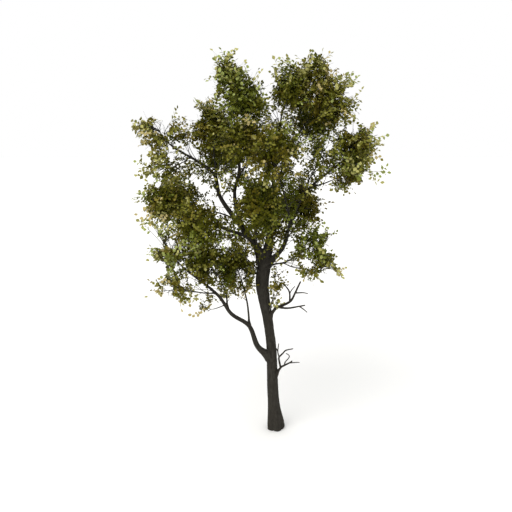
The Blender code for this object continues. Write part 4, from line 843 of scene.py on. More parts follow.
def limb_surface(line, radii, sides, settings, parent=None, trunk=False, collar=0.0):
    """A limb's skin: rings of points round its line, with bark relief.

    The ring at a point of the line has the limb's radius there times the relief.  Near
    its parent's bark it swells by collar * (1 - gap / reach)^2, as a fillet does.
    """
    _, side, other = frames(line)
    along = lengths_along(line)
    turn = 2.0 * math.pi * np.arange(sides) / sides
    grid_turn, grid_along = np.meshgrid(turn, along)
    radius = np.repeat(radii[:, None], sides, axis=1)
    if trunk:
        radius = trunk_radii(line[:, 2][:, None], turn[None, :], settings.lobe_depth)
    spokes = (np.cos(grid_turn)[..., None] * side[:, None, :]
              + np.sin(grid_turn)[..., None] * other[:, None, :])
    if parent is not None:
        bare = line[:, None, :] + radius[..., None] * spokes
        gap = np.maximum(bark_gap(bare, *parent), 0.0)
        near = np.clip(1.0 - gap / (COLLAR_REACH * radii[0]), 0.0, 1.0)
        radius = radius + collar * radii[0] * near ** 2
    out, furrow = bark_relief(grid_turn, grid_along, np.repeat(radii[:, None], sides, axis=1),
                              settings)
    if trunk:
        out = out * np.clip(line[:, 2] / FLAT_FOOT, 0.0, 1.0)[:, None]
    points = line[:, None, :] + (radius + out)[..., None] * spokes
    if trunk:
        points[0, :, 2] = 0.0
    rolled = np.stack((np.cos(grid_turn) * radius, np.sin(grid_turn) * radius, grid_along),
                      axis=-1)
    return points, furrow, rolled


# ------------------------------------------------------------------------- foliage
class Space:
    """The room that one mass keeps to: an ellipsoid cut flat against its neighbours."""

    def __init__(self, middle, half_sizes):
        """Keep the middle and half sizes, with no walls yet."""
        self.middle = np.array(middle)
        self.half_sizes = np.array(half_sizes)
        self.walls = []

    def radius_towards(self, direction):
        """Distance from the middle to the ellipsoid along each direction."""
        return 1.0 / np.linalg.norm(direction / self.half_sizes, axis=-1)

    def add_wall(self, other):
        """Keep clear of a neighbour, at a plane between the two ellipsoids."""
        apart = other.middle - self.middle
        distance = float(np.linalg.norm(apart))
        direction = apart / distance
        mine = self.radius_towards(direction)
        theirs = other.radius_towards(direction)
        if distance < WALL_REACH * (mine + theirs):
            wall = self.middle + direction * distance * mine / (mine + theirs)
            self.walls.append((wall, direction))

    def loosened(self, share, wall_slack):
        """The same space grown by a share, with its walls moved out by a length."""
        grown = Space(self.middle, self.half_sizes * (1.0 + share))
        grown.walls = [(wall + normal * wall_slack, normal) for wall, normal in self.walls]
        return grown

    def room_ahead(self, starts, directions):
        """Distance from each start along its direction to the edge of the space.

        The ellipsoid |(p - middle) / half sizes| = 1 is met where a quadratic in the
        distance is zero, and a wall where the distance to its plane is used up.
        """
        out = (starts - self.middle) / self.half_sizes
        way = directions / self.half_sizes
        a = np.sum(way * way, axis=-1)
        b = np.sum(out * way, axis=-1)
        c = np.sum(out * out, axis=-1) - 1.0
        room = (np.sqrt(np.maximum(b * b - a * c, 0.0)) - b) / a
        for wall, normal in self.walls:
            left = np.maximum((wall - starts) @ normal, 0.0)
            speed = directions @ normal
            met = np.minimum(room, left / np.maximum(speed, LEAST_APPROACH))
            room = np.where(speed > LEAST_APPROACH, met, room)
        return np.maximum(room, 0.0)


def spaces_of_masses():
    """The space of every mass, with its walls against the others, and then trimmed."""
    spaces = {name: Space(middle, half) for name, (_, middle, half) in MASSES.items()}
    spaces[SPRIG_NAME] = Space(*SPRIG_SPACE)
    for name, space in spaces.items():
        for other_name, other in spaces.items():
            if other_name != name:
                space.add_wall(other)
    for name, (shift, scale) in TRIMS.items():
        spaces[name].middle = spaces[name].middle + np.array(shift)
        spaces[name].half_sizes = spaces[name].half_sizes * np.array(scale)
    return spaces


def bend(starts, headings, ends, pull):
    """Curves from starts to ends, each leaving along its heading: three control points."""
    reach = np.linalg.norm(ends - starts, axis=-1, keepdims=True)
    return np.stack((starts, starts + headings * reach * pull, ends), axis=-2)


def along_bend(bends, share):
    """Points and directions on the curves (1-t)^2 a + 2(1-t)t b + t^2 c at shares t."""
    first, middle, last = (bends[..., None, spot, :] for spot in range(3))
    share = np.asarray(share)[..., :, None]
    points = (1.0 - share) ** 2 * first + 2.0 * (1.0 - share) * share * middle
    points = points + share ** 2 * last
    ahead = (1.0 - share) * (middle - first) + share * (last - middle)
    return points, unit(ahead)


def square_pair(ahead):
    """Two directions square to each given direction and to each other."""
    rising = np.abs(ahead[..., 2:]) >= NEARLY_UPRIGHT
    level = np.where(rising, (1.0, 0.0, 0.0), (0.0, 0.0, 1.0))
    side = unit(np.cross(level, ahead))
    return side, np.cross(ahead, side)


def stem_bend(name, limbs, spaces):
    """The stem of a mass, on from its limb's tip through the middle of its space."""
    space = spaces[name]
    if name == SPRIG_NAME:
        foot = point_at_height(limbs["trunk"][0], SPRIG_LEAVES_AT)
        return bend(foot, unit(SPRIG_HEADS_FOR - foot), SPRIG_TIP, SPRIG_PULL), SPRIG_RADIUS
    line, radii = limbs[MASSES[name][0]]
    heading = unit(line[-1] - line[-2])
    tip = line[-1]
    inward = unit(space.middle - tip)
    end = space.middle + inward * STEM_PAST_MIDDLE * space.radius_towards(inward)
    return bend(tip - heading * STEM_OVERLAP, heading, end, STEM_PULL), radii[-1] * STEM_SHARE


def first_twigs(rng, count, stem, space, reach):
    """Twigs that leave the stem evenly on all sides, by the golden angle.

    The share of twig k along the stem's axis falls evenly with k from 1 to the lowest
    rise, and the twig ends at a share of the mass's radius in its direction.
    """
    axis = unit(stem[2] - stem[0])
    order = np.arange(count)
    rise = 1.0 - (1.0 - TWIG_LOWEST_RISE) * (order + TWIG_OFFSET) / count
    angle = order * GOLDEN_ANGLE + rng.uniform(0.0, 2.0 * math.pi)
    side, other = square_pair(axis)
    ring = np.cos(angle)[:, None] * side + np.sin(angle)[:, None] * other
    direction = unit(rise[:, None] * axis + np.sqrt(1.0 - rise ** 2)[:, None] * ring)
    share = np.interp(rise, (TWIG_LOWEST_RISE, 1.0), (TWIG_FIRST_AT, TWIG_LAST_AT))
    starts, ahead = along_bend(stem, share)
    far = space.radius_towards(direction) * reach * rng.uniform(*TWIG_LENGTHS, count)
    ends = space.middle + direction * far[:, None]
    way = ends - starts
    length = np.linalg.norm(way, axis=-1)
    room = space.room_ahead(starts, unit(way))
    ends = starts + unit(way) * np.minimum(length, TWIG_ROOM * room)[:, None]
    return bend(starts, unit(TWIG_FOLLOWS * ahead + unit(way)), ends, TWIG_PULL)


def side_twigs(rng, starts, ahead, angle, lengths, space, lift, spare):
    """Twigs at places along each parent, turned round it by the golden angle.

    Each leaves at an angle to its parent's direction, bends a little to the sky, and is
    cut short to keep clear of the space's edge by the spare length.
    """
    count, places = starts.shape[:2]
    side, other = square_pair(ahead)
    roll = (np.arange(places)[None, :] * GOLDEN_ANGLE
            + rng.uniform(0.0, 2.0 * math.pi, (count, 1))
            + rng.normal(0.0, SIDE_TURNS, (count, places)))
    out = np.cos(roll)[..., None] * side + np.sin(roll)[..., None] * other
    lean = angle * rng.uniform(*SIDE_LEANS, (count, places))
    way = unit(np.cos(lean)[..., None] * ahead + np.sin(lean)[..., None] * out
               + np.array((0.0, 0.0, lift)))
    starts, ahead, way = (part.reshape(-1, 3) for part in (starts, ahead, way))
    reach = (lengths * rng.uniform(*SIDE_LENGTHS, (count, places))).reshape(-1)
    if space is not None:
        room = space.room_ahead(starts, way) - spare
        keep = room > SIDE_LEAST_ROOM * reach
        reach = np.minimum(reach, room)[keep]
        starts, ahead, way = starts[keep], ahead[keep], way[keep]
    ends = starts + way * reach[:, None]
    return bend(starts, unit(SIDE_FOLLOWS * ahead + way), ends, SIDE_PULL)


def twigs_along(rng, parents, rule, size, angle, space, spare=0.0):
    """Side twigs along each parent curve, by a rule of places and of shares of a size."""
    shares, strays, longest, fall = rule
    shares = np.asarray(shares)[None] + rng.uniform(-strays, strays, (len(parents), len(shares)))
    starts, ahead = along_bend(parents, shares)
    lengths = size * (longest - fall * shares)
    return side_twigs(rng, starts, ahead, angle, lengths, space, LIFT, spare)


def end_shoots(rng, carriers, length, space):
    """A shoot that carries on from the end of each carrier."""
    _, ahead = along_bend(carriers, np.ones(1))
    tips, ahead = carriers[:, 2], ahead[:, 0]
    way = unit(ahead + rng.normal(0.0, END_STRAYS, ahead.shape))
    reach = length * rng.uniform(*END_LENGTHS, len(tips))
    keep = np.ones(len(tips), dtype=bool)
    if space is not None:
        room = space.room_ahead(tips, way)
        keep = room > END_LEAST_ROOM * reach
        reach = np.minimum(reach, room)
    return bend(tips, ahead, tips + way * reach[:, None], SIDE_PULL)[keep]


def fitted_to_box(points, spare):
    """Whether each point keeps to the model's box, loosened by the spare length."""
    low, high = (np.array(corner) for corner in CAD_BOX)
    return np.all((points > low - spare) & (points < high + spare), axis=1)


def of_kinds(runs, spare):
    """Runs of shoots as one with their kinds, without those past the box or in openings."""
    shoots = np.concatenate([run for run, _ in runs])
    kinds = np.concatenate([np.full(len(run), kind) for run, kind in runs])
    kept = fitted_to_box(shoots[:, 2], spare) & ~in_an_opening(shoots.mean(axis=1))
    return shoots[kept], kinds[kept]


def grow_mass(order, name, limbs, spaces, settings):
    """Every curve of one mass: its stem, twigs of two orders, and leafy shoots.

    Each order is an array of curves of three control points.
    """
    rng = np.random.default_rng(SEED + order)
    space = spaces[name]
    stem, stem_radius = stem_bend(name, limbs, spaces)
    size = float(np.prod(space.half_sizes) ** (1.0 / 3.0))
    count, places = FILL.get(name, USUAL_FILL)
    twigs = first_twigs(rng, count, stem, space, settings.twig_reach)
    loose = space.loosened(settings.stand_out, settings.mingle)
    free = space.loosened(settings.plumes_out, PLUME_MINGLE * settings.mingle)
    shoot, angle = settings.shoot_length, settings.branching
    shares = np.linspace(*TWIGLETS_BETWEEN, places + 1)[1:] - TWIGLETS_BACK
    twiglets = twigs_along(rng, twigs, (shares, *TWIGLET_RULE), TWIGLET_LENGTH * size, angle,
                           loose, TWIGLET_SPARE * shoot)
    plumes = twigs_along(rng, twigs, MASS_PLUMES, shoot, PLUME_ANGLE * angle, free)
    inner = twigs_along(rng, twiglets, MASS_INNER, shoot, angle, loose)
    twig_ends = end_shoots(rng, twigs, TWIG_END * shoot, free)
    twiglet_ends = end_shoots(rng, twiglets, TWIGLET_END * shoot, free)
    shoots, kinds = of_kinds(((inner, INNER), (twiglet_ends, TIP), (plumes, PLUME),
                              (twig_ends, PLUME)), settings.spare)
    return rng, stem, stem_radius, twigs, twiglets, shoots, kinds


def in_an_opening(points):
    """Whether each point lies in an opening: nearer than its radius to its middle line."""
    places = np.array(CLEARINGS)
    axes = unit(places[:, :3] - VIEWED_FROM)
    from_there = points - VIEWED_FROM
    along = from_there @ axes.T
    aside = np.sum(from_there ** 2, axis=1)[:, None] - along ** 2
    least, greatest = OPENING_EDGE
    ragged = least + (greatest - least) * noise(points / EDGE_SIZE)
    return np.any(aside < (places[:, 3] * ragged[:, None]) ** 2, axis=1)


def reaching_twigs(limbs, spaces):
    """The twigs that reach out on their own, each from its carrier to its tip."""
    bends = []
    for carrier, twigs in REACHES.items():
        for share, *tip in twigs:
            if carrier in spaces:
                stem, _ = stem_bend(carrier, limbs, spaces)
                start, ahead = along_bend(stem, np.array([share]))
                start, ahead = start[0], ahead[0]
            else:
                line = limbs[carrier][0]
                spot = int(share * (len(line) - 2))
                start, ahead = line[spot], unit(line[spot + 1] - line[spot])
            way = np.array(tip) - start
            short = min(REACH_SHORT / np.linalg.norm(way), REACH_MOST_SHORT)
            heading = unit(ahead + REACH_FOLLOWS * unit(way))
            bends.append(bend(start, heading, start + way * (1.0 - short), REACH_PULL))
    return np.stack(bends)


def grow_limb_twigs(limbs, spaces, settings):
    """Leafy twigs straight off the limbs inside the crown, and their shoots."""
    rng = np.random.default_rng(SEED - 1)
    shoot, angle = settings.shoot_length, settings.branching
    twigs = []
    for name, (first, last, per_metre) in LIMB_TWIGS.items():
        line = limbs[name][0]
        along = lengths_along(line)
        count = max(2, int(along[-1] * (last - first) * per_metre))
        share = np.linspace(first, last, count)
        share = share + rng.uniform(-LIMB_TWIG_STRAYS, LIMB_TWIG_STRAYS, count)
        spot = np.clip((share * (len(line) - 1)).astype(int), 0, len(line) - 2)
        ahead = unit(line[spot + 1] - line[spot])
        lengths = settings.side_twig_length * rng.uniform(*LIMB_TWIG_LENGTHS, count)
        twigs.append(side_twigs(rng, line[spot][None], ahead[None], LIMB_TWIG_ANGLE * angle,
                                lengths[None], None, LIMB_TWIG_LIFT, 0.0))
    twigs = np.concatenate(twigs)
    sides = twigs_along(rng, twigs, LIMB_SIDES, shoot, angle, None)
    reaching = reaching_twigs(limbs, spaces)
    plumes = twigs_along(rng, reaching, REACH_PLUMES, shoot, angle, None)
    ends = end_shoots(rng, twigs, LIMB_TWIG_END * shoot, None)
    reaching_ends = end_shoots(rng, reaching, REACH_END * shoot, None)
    shoots, kinds = of_kinds(((sides, INNER), (ends, TIP), (plumes, PLUME),
                              (reaching_ends, PLUME)), settings.spare)
    return rng, np.concatenate((twigs, reaching)), shoots, kinds


def clear_of_bark(points, limbs, clearance):
    """Whether each point keeps clear of the bark of every limb."""
    clear = np.ones(len(points), dtype=bool)
    low, high = points.min(axis=0) - NEAR_BARK, points.max(axis=0) + NEAR_BARK
    for line, radii in limbs.values():
        near = np.all((line > low) & (line < high), axis=1)
        if near.any():
            clear &= bark_gap(points, line[near], radii[near]) > clearance
    return clear


def leaf_template(settings):
    """One leaf along +X: places along and across it, its lift, and its faces."""
    return leaf_outline(LEAF_ALONG, LEAF_ACROSS, settings) + (np.array(LEAF_TRIANGLES),
                                                              np.array(LEAF_SQUARES))


def small_leaf_template(settings):
    """The same leaf with two faces, for the crowded sprays in the shade."""
    return leaf_outline(SMALL_LEAF_ALONG, SMALL_LEAF_ACROSS, settings) + (
        np.zeros((0, 3), dtype=int), np.array(SMALL_LEAF_SQUARES))


def leaf_outline(along, across, settings):
    """Where points of a leaf lie: along it, across it and above its rib.

    The half width follows sin(pi s^p) along the blade, the halves rise from the rib by
    the fold, and the tip droops by the square of the distance along.
    """
    along, across = np.array(along), np.array(across)
    blade = np.clip((along - STALK) / (1.0 - STALK), 0.0, 1.0)
    half = 0.5 * settings.leaf_width * np.sin(math.pi * blade ** LEAF_FULLNESS)
    lift = np.abs(across) * half * math.tan(settings.leaf_fold) - settings.leaf_droop * along ** 2
    return along, across * half, lift


def from_hearts(points, spaces):
    """Distance of each point from the nearest mass's heart: 0 in it, 1 at the mass's rim.

    Depth in the crown counts for little, so what hangs before a heart belongs to it.
    """
    flat = np.array((1.0, BEFORE_A_HEART, 1.0))
    return np.min([np.linalg.norm((points - space.middle) / space.half_sizes * flat, axis=1)
                   for space in spaces], axis=0)


def spray_levels(rng, shoots, kinds, spaces):
    """How far each shoot is from painted shade to painted light: 0, 1 and 2 are the three levels.
    """
    middle = shoots.mean(axis=1)
    out = (middle - CROWN_HEART) / CROWN_HALF_SIZES
    crown = np.linalg.norm(out, axis=1)
    ahead = unit(shoots[:, 2] - shoots[:, 0])
    outward = np.clip(np.sum(unit(out) * ahead, axis=1), 0.0, 1.0)
    levels = np.array(LEVEL_OF_KIND)[kinds]
    heart = from_hearts(middle, spaces.values())
    dense = from_hearts(middle, [spaces[name] for name in DENSE_MASSES])
    rise = BY_DEPTH + BY_HEADING * outward + AT_A_RIM * np.interp(heart, RIM_OF_A_MASS, (0, 1))
    levels += np.interp(crown, DEPTHS_IN_CROWN, (0.0, 1.0)) * rise
    levels -= IN_A_HEART * np.interp(heart, SIZE_OF_A_HEART, (1, 0))
    levels -= IN_A_DENSE_HEART * np.interp(dense, SIZE_OF_A_HEART, (1, 0))
    return levels + rng.normal(0.0, LEVEL_SPREAD, len(shoots))


def spray_hues(rng, shoots, group):
    """The hue of each shoot, 0, 1 or 2, which drifts from place to place."""
    middle = shoots.mean(axis=1)
    wide = noise(middle / PATCH_SIZE + PATCH_SHIFT)
    fine = noise(middle / (FINE_PATCH_SIZE * PATCH_SIZE))
    patch = wide * (1.0 - FINE_PATCH_SHARE) + fine * FINE_PATCH_SHARE
    hue = 1.0 + PATCH_CONTRAST * (patch - 0.5) + GROUP_HUES[group]
    hue = hue + rng.normal(0.0, HUE_SPREAD, len(shoots))
    return np.clip(np.rint(hue), 0, TINTS_IN_A_LEVEL - 1).astype(int)


def lay_leaves(rng, shoots, levels, hues, leaves, spacing, heart, limbs, settings):
    """Roots, axes, facings, sizes and tints of the leaves on every shoot.

    Leaves stand left and right in turn along a shoot, with one at its end.
    """
    count = len(shoots)
    length = np.linalg.norm(shoots[:, 2] - shoots[:, 0], axis=1)
    length = np.maximum(length, SHORTEST_SHOOT)
    share = 1.0 - np.arange(leaves)[::-1][None, :] * spacing / length[:, None]
    fitted = (share >= BARE_START).ravel()
    roots, ahead = along_bend(shoots, np.clip(share, 0.0, 1.0))
    middle = shoots.mean(axis=1)
    facing = unit(settings.face_sky * np.array((0.0, 0.0, 1.0))
                  + settings.face_out * unit(middle - heart)
                  + rng.normal(0.0, settings.face_loose, (count, 3)))
    across = np.cross(facing[:, None, :], ahead)
    hand = np.where(np.arange(leaves) % 2, 1.0, -1.0)
    lean = np.full(leaves, LEAF_LEAN)
    lean[-1] = 0.0
    axis = (np.cos(lean)[None, :, None] * ahead
            + (np.sin(lean) * hand)[None, :, None] * unit(across))
    loose = np.where(levels < SHADED, LOOSE_IN_SHADE, 0.0)[:, None, None]
    axis = unit(axis + rng.normal(0.0, 1.0, axis.shape) * (AXIS_LOOSENESS + loose))
    normal = facing[:, None, :] + rng.normal(0.0, 1.0, axis.shape) * (FACING_LOOSENESS + loose)
    normal = unit(normal - axis * np.sum(normal * axis, axis=-1, keepdims=True))
    size = settings.leaf_length * rng.uniform(*LEAF_SIZES, (count, leaves))
    size *= np.interp(levels, np.arange(LEVELS), LEVEL_SIZES)[:, None]
    size *= np.interp(np.arange(leaves), (0, leaves // 2, leaves - 1), SIZES_ALONG)
    roots, axis, normal = (part.reshape(-1, 3)[fitted] for part in (roots, axis, normal))
    # A leaf's level picks a darker copy of its hue as painted shade, the plain one, or a paler
    # copy as painted light.
    level = levels[:, None] + rng.normal(0.0, LEAF_SPREAD, (count, leaves))
    level = np.clip(np.rint(level), 0, LEVELS - 1).astype(int)
    tint = (level * TINTS_IN_A_LEVEL + hues[:, None]).ravel()[fitted]
    size = size.ravel()[fitted]
    tips = roots + axis * size[:, None]
    middles = 0.5 * (roots + tips)
    keep = fitted_to_box(tips, settings.spare + LEAF_PAST_BOX) & ~in_an_opening(middles)
    keep &= clear_of_bark(middles, limbs, MIDDLE_CLEAR)
    keep &= clear_of_bark(tips, limbs, TIP_CLEAR)
    return [part[keep] for part in (roots, axis, normal, size, tint)]


def dress_shoots(name, rng, shoots, kinds, heart, group, limbs, spaces, settings, materials):
    """The leaves of all shoots as one piece: many small ones in the shade, larger outside."""
    levels = spray_levels(rng, shoots, kinds, spaces)
    hues = spray_hues(rng, shoots, group)
    shaded = levels < SHADED
    parts, dealt = [], []
    for chosen, leaves, spacing, template in (
            (shaded, settings.shaded_leaves_per_shoot, settings.shaded_spacing,
             small_leaf_template(settings)),
            (~shaded, settings.leaves_per_shoot, settings.leaf_spacing,
             leaf_template(settings))):
        if not chosen.any():
            continue
        *laid, tints = lay_leaves(rng, shoots[chosen], levels[chosen], hues[chosen], leaves,
                                  spacing, heart, limbs, settings)
        parts.append(leaf_points(template, *laid))
        dealt.extend(tints.repeat(len(faces)) for faces in template[3:])
    return make_piece(name, *joined(parts), materials, np.concatenate(dealt))


def leaf_points(template, roots, axis, normal, size):
    """Points and blocks of faces of leaves, each the template laid on its axis and facing."""
    along, wide, lift, corners, squares = template
    across = np.cross(normal, axis)
    points = (axis[:, None, :] * along[None, :, None]
              + across[:, None, :] * wide[None, :, None]
              + normal[:, None, :] * lift[None, :, None])
    points = roots[:, None, :] + points * size[:, None, None]
    return points.reshape(-1, 3), repeated((corners, squares), len(roots), len(along))


def tapered(bends, root, tip, cuts, sides):
    """Closed tubes along many curves, all tapering evenly from one radius to another."""
    share = np.linspace(0.0, 1.0, cuts)
    line, ahead = along_bend(bends, share)
    side, _ = square_pair(ahead[:, :1].repeat(cuts, axis=1))
    side = unit(side - ahead * np.sum(side * ahead, axis=-1, keepdims=True))
    other = np.cross(ahead, side)
    turn = 2.0 * math.pi * np.arange(sides) / sides
    spokes = (np.cos(turn)[:, None] * side[:, :, None, :]
              + np.sin(turn)[:, None] * other[:, :, None, :])
    points = line[:, :, None, :] + (root + (tip - root) * share)[:, None, None] * spokes
    return points.reshape(-1, 3), repeated(tube_faces(cuts, sides), len(bends), cuts * sides)


# ----------------------------------------------------------------------- materials
def plain_material(name, colour, roughness, gloss=0.5):
    """A Principled finish of one plain colour, roughness and gloss."""
    made = bpy.data.materials.new(name)
    made.use_nodes = True
    shader = made.node_tree.nodes["Principled BSDF"]
    shader.inputs["Base Color"].default_value = (*colour, 1.0)
    shader.inputs["Roughness"].default_value = roughness
    shader.inputs["Specular IOR Level"].default_value = gloss
    made.diffuse_color = (*colour, 1.0)
    return made


def add_node(tree, kind, place, sockets=(), **values):
    """A node at a column and row of its tree, with its sockets and properties set."""
    node = tree.nodes.new(kind)
    column, row = place
    node.location = (column * NODE_STEP, -row * NODE_STEP)
    for key, value in values.items():
        setattr(node, key, value)
    for key, value in dict(sockets).items():
        node.inputs[key].default_value = value
    return node


def colour_mix(tree, place, factor, first, second):
    """A mix of two colour links by a factor link."""
    mix = add_node(tree, "ShaderNodeMix", place, data_type="RGBA", blend_type="MIX")
    sockets = {socket.identifier: socket for socket in mix.inputs}
    tree.links.new(factor, sockets["Factor_Float"])
    tree.links.new(first, sockets["A_Color"])
    tree.links.new(second, sockets["B_Color"])
    return next(socket for socket in mix.outputs if socket.identifier == "Result_Color")


def noise_node(tree, place, where, sockets):
    """A noise node that reads at a link, with its sockets set."""
    node = add_node(tree, "ShaderNodeTexNoise", place, sockets)
    tree.links.new(where, node.inputs["Vector"])
    return node


def range_link(tree, place, value, low, high, least, most):
    """A link mapped from low and high to least and most."""
    node = add_node(tree, "ShaderNodeMapRange", place, {
        "From Min": low, "From Max": high, "To Min": least, "To Max": most})
    tree.links.new(value, node.inputs["Value"])
    return node.outputs["Result"]


def math_link(tree, place, operation, *values):
    """Two links put through a Math node."""
    node = add_node(tree, "ShaderNodeMath", place, operation=operation)
    for value, socket in zip(values, node.inputs):
        tree.links.new(value, socket)
    return node.outputs["Value"]


def weathered_bark_group():
    """Node group of weathered bark: colour, roughness and height from place and furrows.

    Drawn-out streaks and the furrows darken the plates, blotches darken them in patches,
    and lichen lies where a fine crust of noise is high.
    """
    name = "Weathered bark"
    if name in bpy.data.node_groups:
        return bpy.data.node_groups[name]
    tree = bpy.data.node_groups.new(name, "ShaderNodeTree")
    for way, label, kind in WEATHERED_BARK_SOCKETS:
        tree.interface.new_socket(name=label, in_out=way, socket_type="NodeSocket" + kind)
    enter = add_node(tree, "NodeGroupInput", (0, 0)).outputs
    leave = add_node(tree, "NodeGroupOutput", (8, 0)).inputs
    drawn = add_node(tree, "ShaderNodeMapping", (1, 0), {"Scale": STREAKS_DRAWN_OUT})
    tree.links.new(enter["Place"], drawn.inputs["Vector"])
    streaks = noise_node(tree, (2, 0), drawn.outputs["Vector"], STREAKS)
    tree.links.new(enter["Streak Scale"], streaks.inputs["Scale"])
    blotches = noise_node(tree, (2, 1), enter["Place"], BLOTCHES)
    crust = noise_node(tree, (2, 2), enter["Place"], CRUST)

    dark = range_link(tree, (3, 0), streaks.outputs["Fac"], *STREAKS_DARKEN)
    deeper = math_link(tree, (4, 0), "MAXIMUM", dark, enter["Furrow"])
    body = colour_mix(tree, (5, 0), deeper, enter["Plate Colour"], enter["Furrow Colour"])
    patch = range_link(tree, (3, 1), blotches.outputs["Fac"], *BLOTCHES_DARKEN)
    worn = colour_mix(tree, (6, 0), patch, body, enter["Furrow Colour"])
    spots = range_link(tree, (3, 2), crust.outputs["Fac"], *CRUST_SHOWS)
    grown = math_link(tree, (4, 2), "MULTIPLY", spots, enter["Lichen Share"])
    rough = range_link(tree, (7, 1), streaks.outputs["Fac"], *STREAKS_ROUGHEN)
    tree.links.new(colour_mix(tree, (7, 0), grown, worn, enter["Lichen Colour"]), leave["Color"])
    tree.links.new(rough, leave["Roughness"])
    tree.links.new(streaks.outputs["Fac"], leave["Height"])
    return tree


def bark_material(name, plate, furrow, lichen, lichen_share, streak_scale, bump):
    """Bark or bare wood: the weathered group with its own colours, and a fine bump."""
    made = bpy.data.materials.new(name)
    made.use_nodes = True
    tree = made.node_tree
    shader = tree.nodes["Principled BSDF"]
    place = add_node(tree, "ShaderNodeAttribute", (-5, 0), attribute_name="rolled")
    hollow = add_node(tree, "ShaderNodeAttribute", (-5, 1), attribute_name="furrow")
    group = add_node(tree, "ShaderNodeGroup", (-3, 0), node_tree=weathered_bark_group())
    for label, value in (("Plate Colour", (*plate, 1.0)), ("Furrow Colour", (*furrow, 1.0)),
                         ("Lichen Colour", (*lichen, 1.0)), ("Lichen Share", lichen_share),
                         ("Streak Scale", streak_scale)):
        group.inputs[label].default_value = value
    raised = add_node(tree, "ShaderNodeBump", (-1, 1), {"Strength": bump, "Distance": BUMP_DEPTH})
    shader.inputs["Specular IOR Level"].default_value = BARK_GLOSS
    for source, target in (
            (place.outputs["Vector"], group.inputs["Place"]),
            (hollow.outputs["Fac"], group.inputs["Furrow"]),
            (group.outputs["Height"], raised.inputs["Height"]),
            (group.outputs["Color"], shader.inputs["Base Color"]),
            (group.outputs["Roughness"], shader.inputs["Roughness"]),
            (raised.outputs["Normal"], shader.inputs["Normal"])):
        tree.links.new(source, target)
    made.diffuse_color = (*plate, 1.0)
    return made


# ------------------------------------------------------------------------ settings
def colour_prop(name, text, default):
    """A colour that the user may change."""
    return bpy.props.FloatVectorProperty(name=name, description=text, default=default,
                                         subtype="COLOR", size=3, min=0.0, max=1.0)


def number_prop(name, text, default, **more):
    """A plain number that the user may change."""
    return bpy.props.FloatProperty(name=name, description=text, default=default, **more)


def length_prop(name, text, default):
    """A length in metres that the user may change."""
    return number_prop(name, text, default, unit="LENGTH")


def share_prop(name, text, default):
    """A share that the user may change."""
    return number_prop(name, text, default, subtype="FACTOR")


def angle_prop(name, text, degrees):
    """An angle that the user may change."""
    return number_prop(name, text, math.radians(degrees), unit="ROTATION")


def count_prop(name, text, default):
    """A count that the user may change."""
    return bpy.props.IntProperty(name=name, description=text, default=default)


class IronwoodBark(bpy.types.PropertyGroup):
    """Sizes and colours of the bark."""

    relief: length_prop("Relief", "Depth of the bark's relief on the trunk", 0.0065)
    plate_width: length_prop("Plate width", "Width of the bark's plates", 0.052)
    plate_length: length_prop("Plate length", "Length of the bark's plates", 0.26)
    lobe_depth: share_prop("Flare lobes", "Depth of the root flare's lobes, as a share", 0.13)
    collar: share_prop("Collar", "Swelling where a bough leaves its parent, as a share", 0.75)
    ring_step: length_prop("Ring step", "Distance between rings of the bark mesh", 0.026)
    plate_colour: colour_prop("Plates", "Colour of the bark's plates", (0.0355, 0.0320, 0.0260))
    furrow_colour: colour_prop("Furrows", "Colour in the bark's furrows",
                               (0.0170, 0.0148, 0.0114))
    lichen_colour: colour_prop("Lichen", "Colour of the thin lichen", (0.055, 0.056, 0.040))
    dead_colour: colour_prop("Dead wood", "Colour of bare dead wood", (0.036, 0.031, 0.024))
    dead_crack_colour: colour_prop("Dead wood cracks", "Colour in the cracks of dead wood",
                                   (0.016, 0.013, 0.010))
    twig_colour: colour_prop("Twigs", "Colour of the twigs", (0.052, 0.047, 0.039))


class IronwoodFoliage(bpy.types.PropertyGroup):
    """Sizes and counts of the twigs and leaves."""

    side_twig_length: length_prop("Side twig length", "Length of the leafy twigs off the limbs",
                                  0.42)
    twig_reach: share_prop("Twig reach", "Share of the mass's radius that twigs grow to", 0.54)
    branching: angle_prop("Branching angle", "Angle between a twig and the one it leaves", 50.0)
    shoot_length: length_prop("Shoot length", "Length of a leafy shoot", 0.28)
    leaves_per_shoot: count_prop("Leaves on a shoot", "Most leaves on one shoot at the rim", 9)
    leaf_spacing: length_prop("Leaf spacing", "Distance between leaves on a shoot at the rim",
                              0.050)
    shaded_leaves_per_shoot: count_prop(
        "Leaves in the shade", "Most leaves on one shoot in the shade", 12)
    shaded_spacing: length_prop("Spacing in the shade", "Distance between leaves in the shade",
                                0.024)
    leaf_length: length_prop("Leaf length", "Length of a leaf with its stalk", 0.094)
    leaf_width: share_prop("Leaf width", "Width of a leaf as a share of its length", 0.78)
    leaf_fold: angle_prop("Leaf fold", "Angle by which each half rises from the rib", 16.0)
    leaf_droop: share_prop("Leaf droop", "Drop of the leaf's tip as a share of its length", 0.10)
    face_sky: number_prop("Face the sky", "How strongly leaves face the sky", 0.50)
    face_out: number_prop("Face outward", "How strongly leaves face out of the mass", 0.75)
    face_loose: number_prop("Looseness", "How loosely sprays face one way", 0.38)
    stand_out: share_prop("Stand out", "Share of a mass's size that shoots may stand out of it",
                          0.05)
    plumes_out: share_prop("Plumes out", "Share by which its outermost shoots may stand out",
                           0.20)
    mingle: length_prop("Mingle", "How far shoots of neighbouring masses mingle", 0.18)
    spare: length_prop("Spare", "How far leaves may stand out of the model's box", 0.05)


class IronwoodStage(bpy.types.PropertyGroup):
    """Floor, light and camera."""

    floor_size: length_prop("Floor size", "Half the width of the floor", 60.0)
    floor_colour: colour_prop("Floor", "Colour of the floor", (0.88, 0.88, 0.87))
    sky_strength: number_prop("Sky", "Strength of the plain light all round", 1.0)
    key_strength: number_prop("Key light", "Strength of the soft sun", 1.5)
    key_softness: angle_prop("Key softness", "Angle across which the sun shines", 45.0)
    lens: number_prop("Lens", "Focal length of the camera", 45.0, unit="CAMERA")


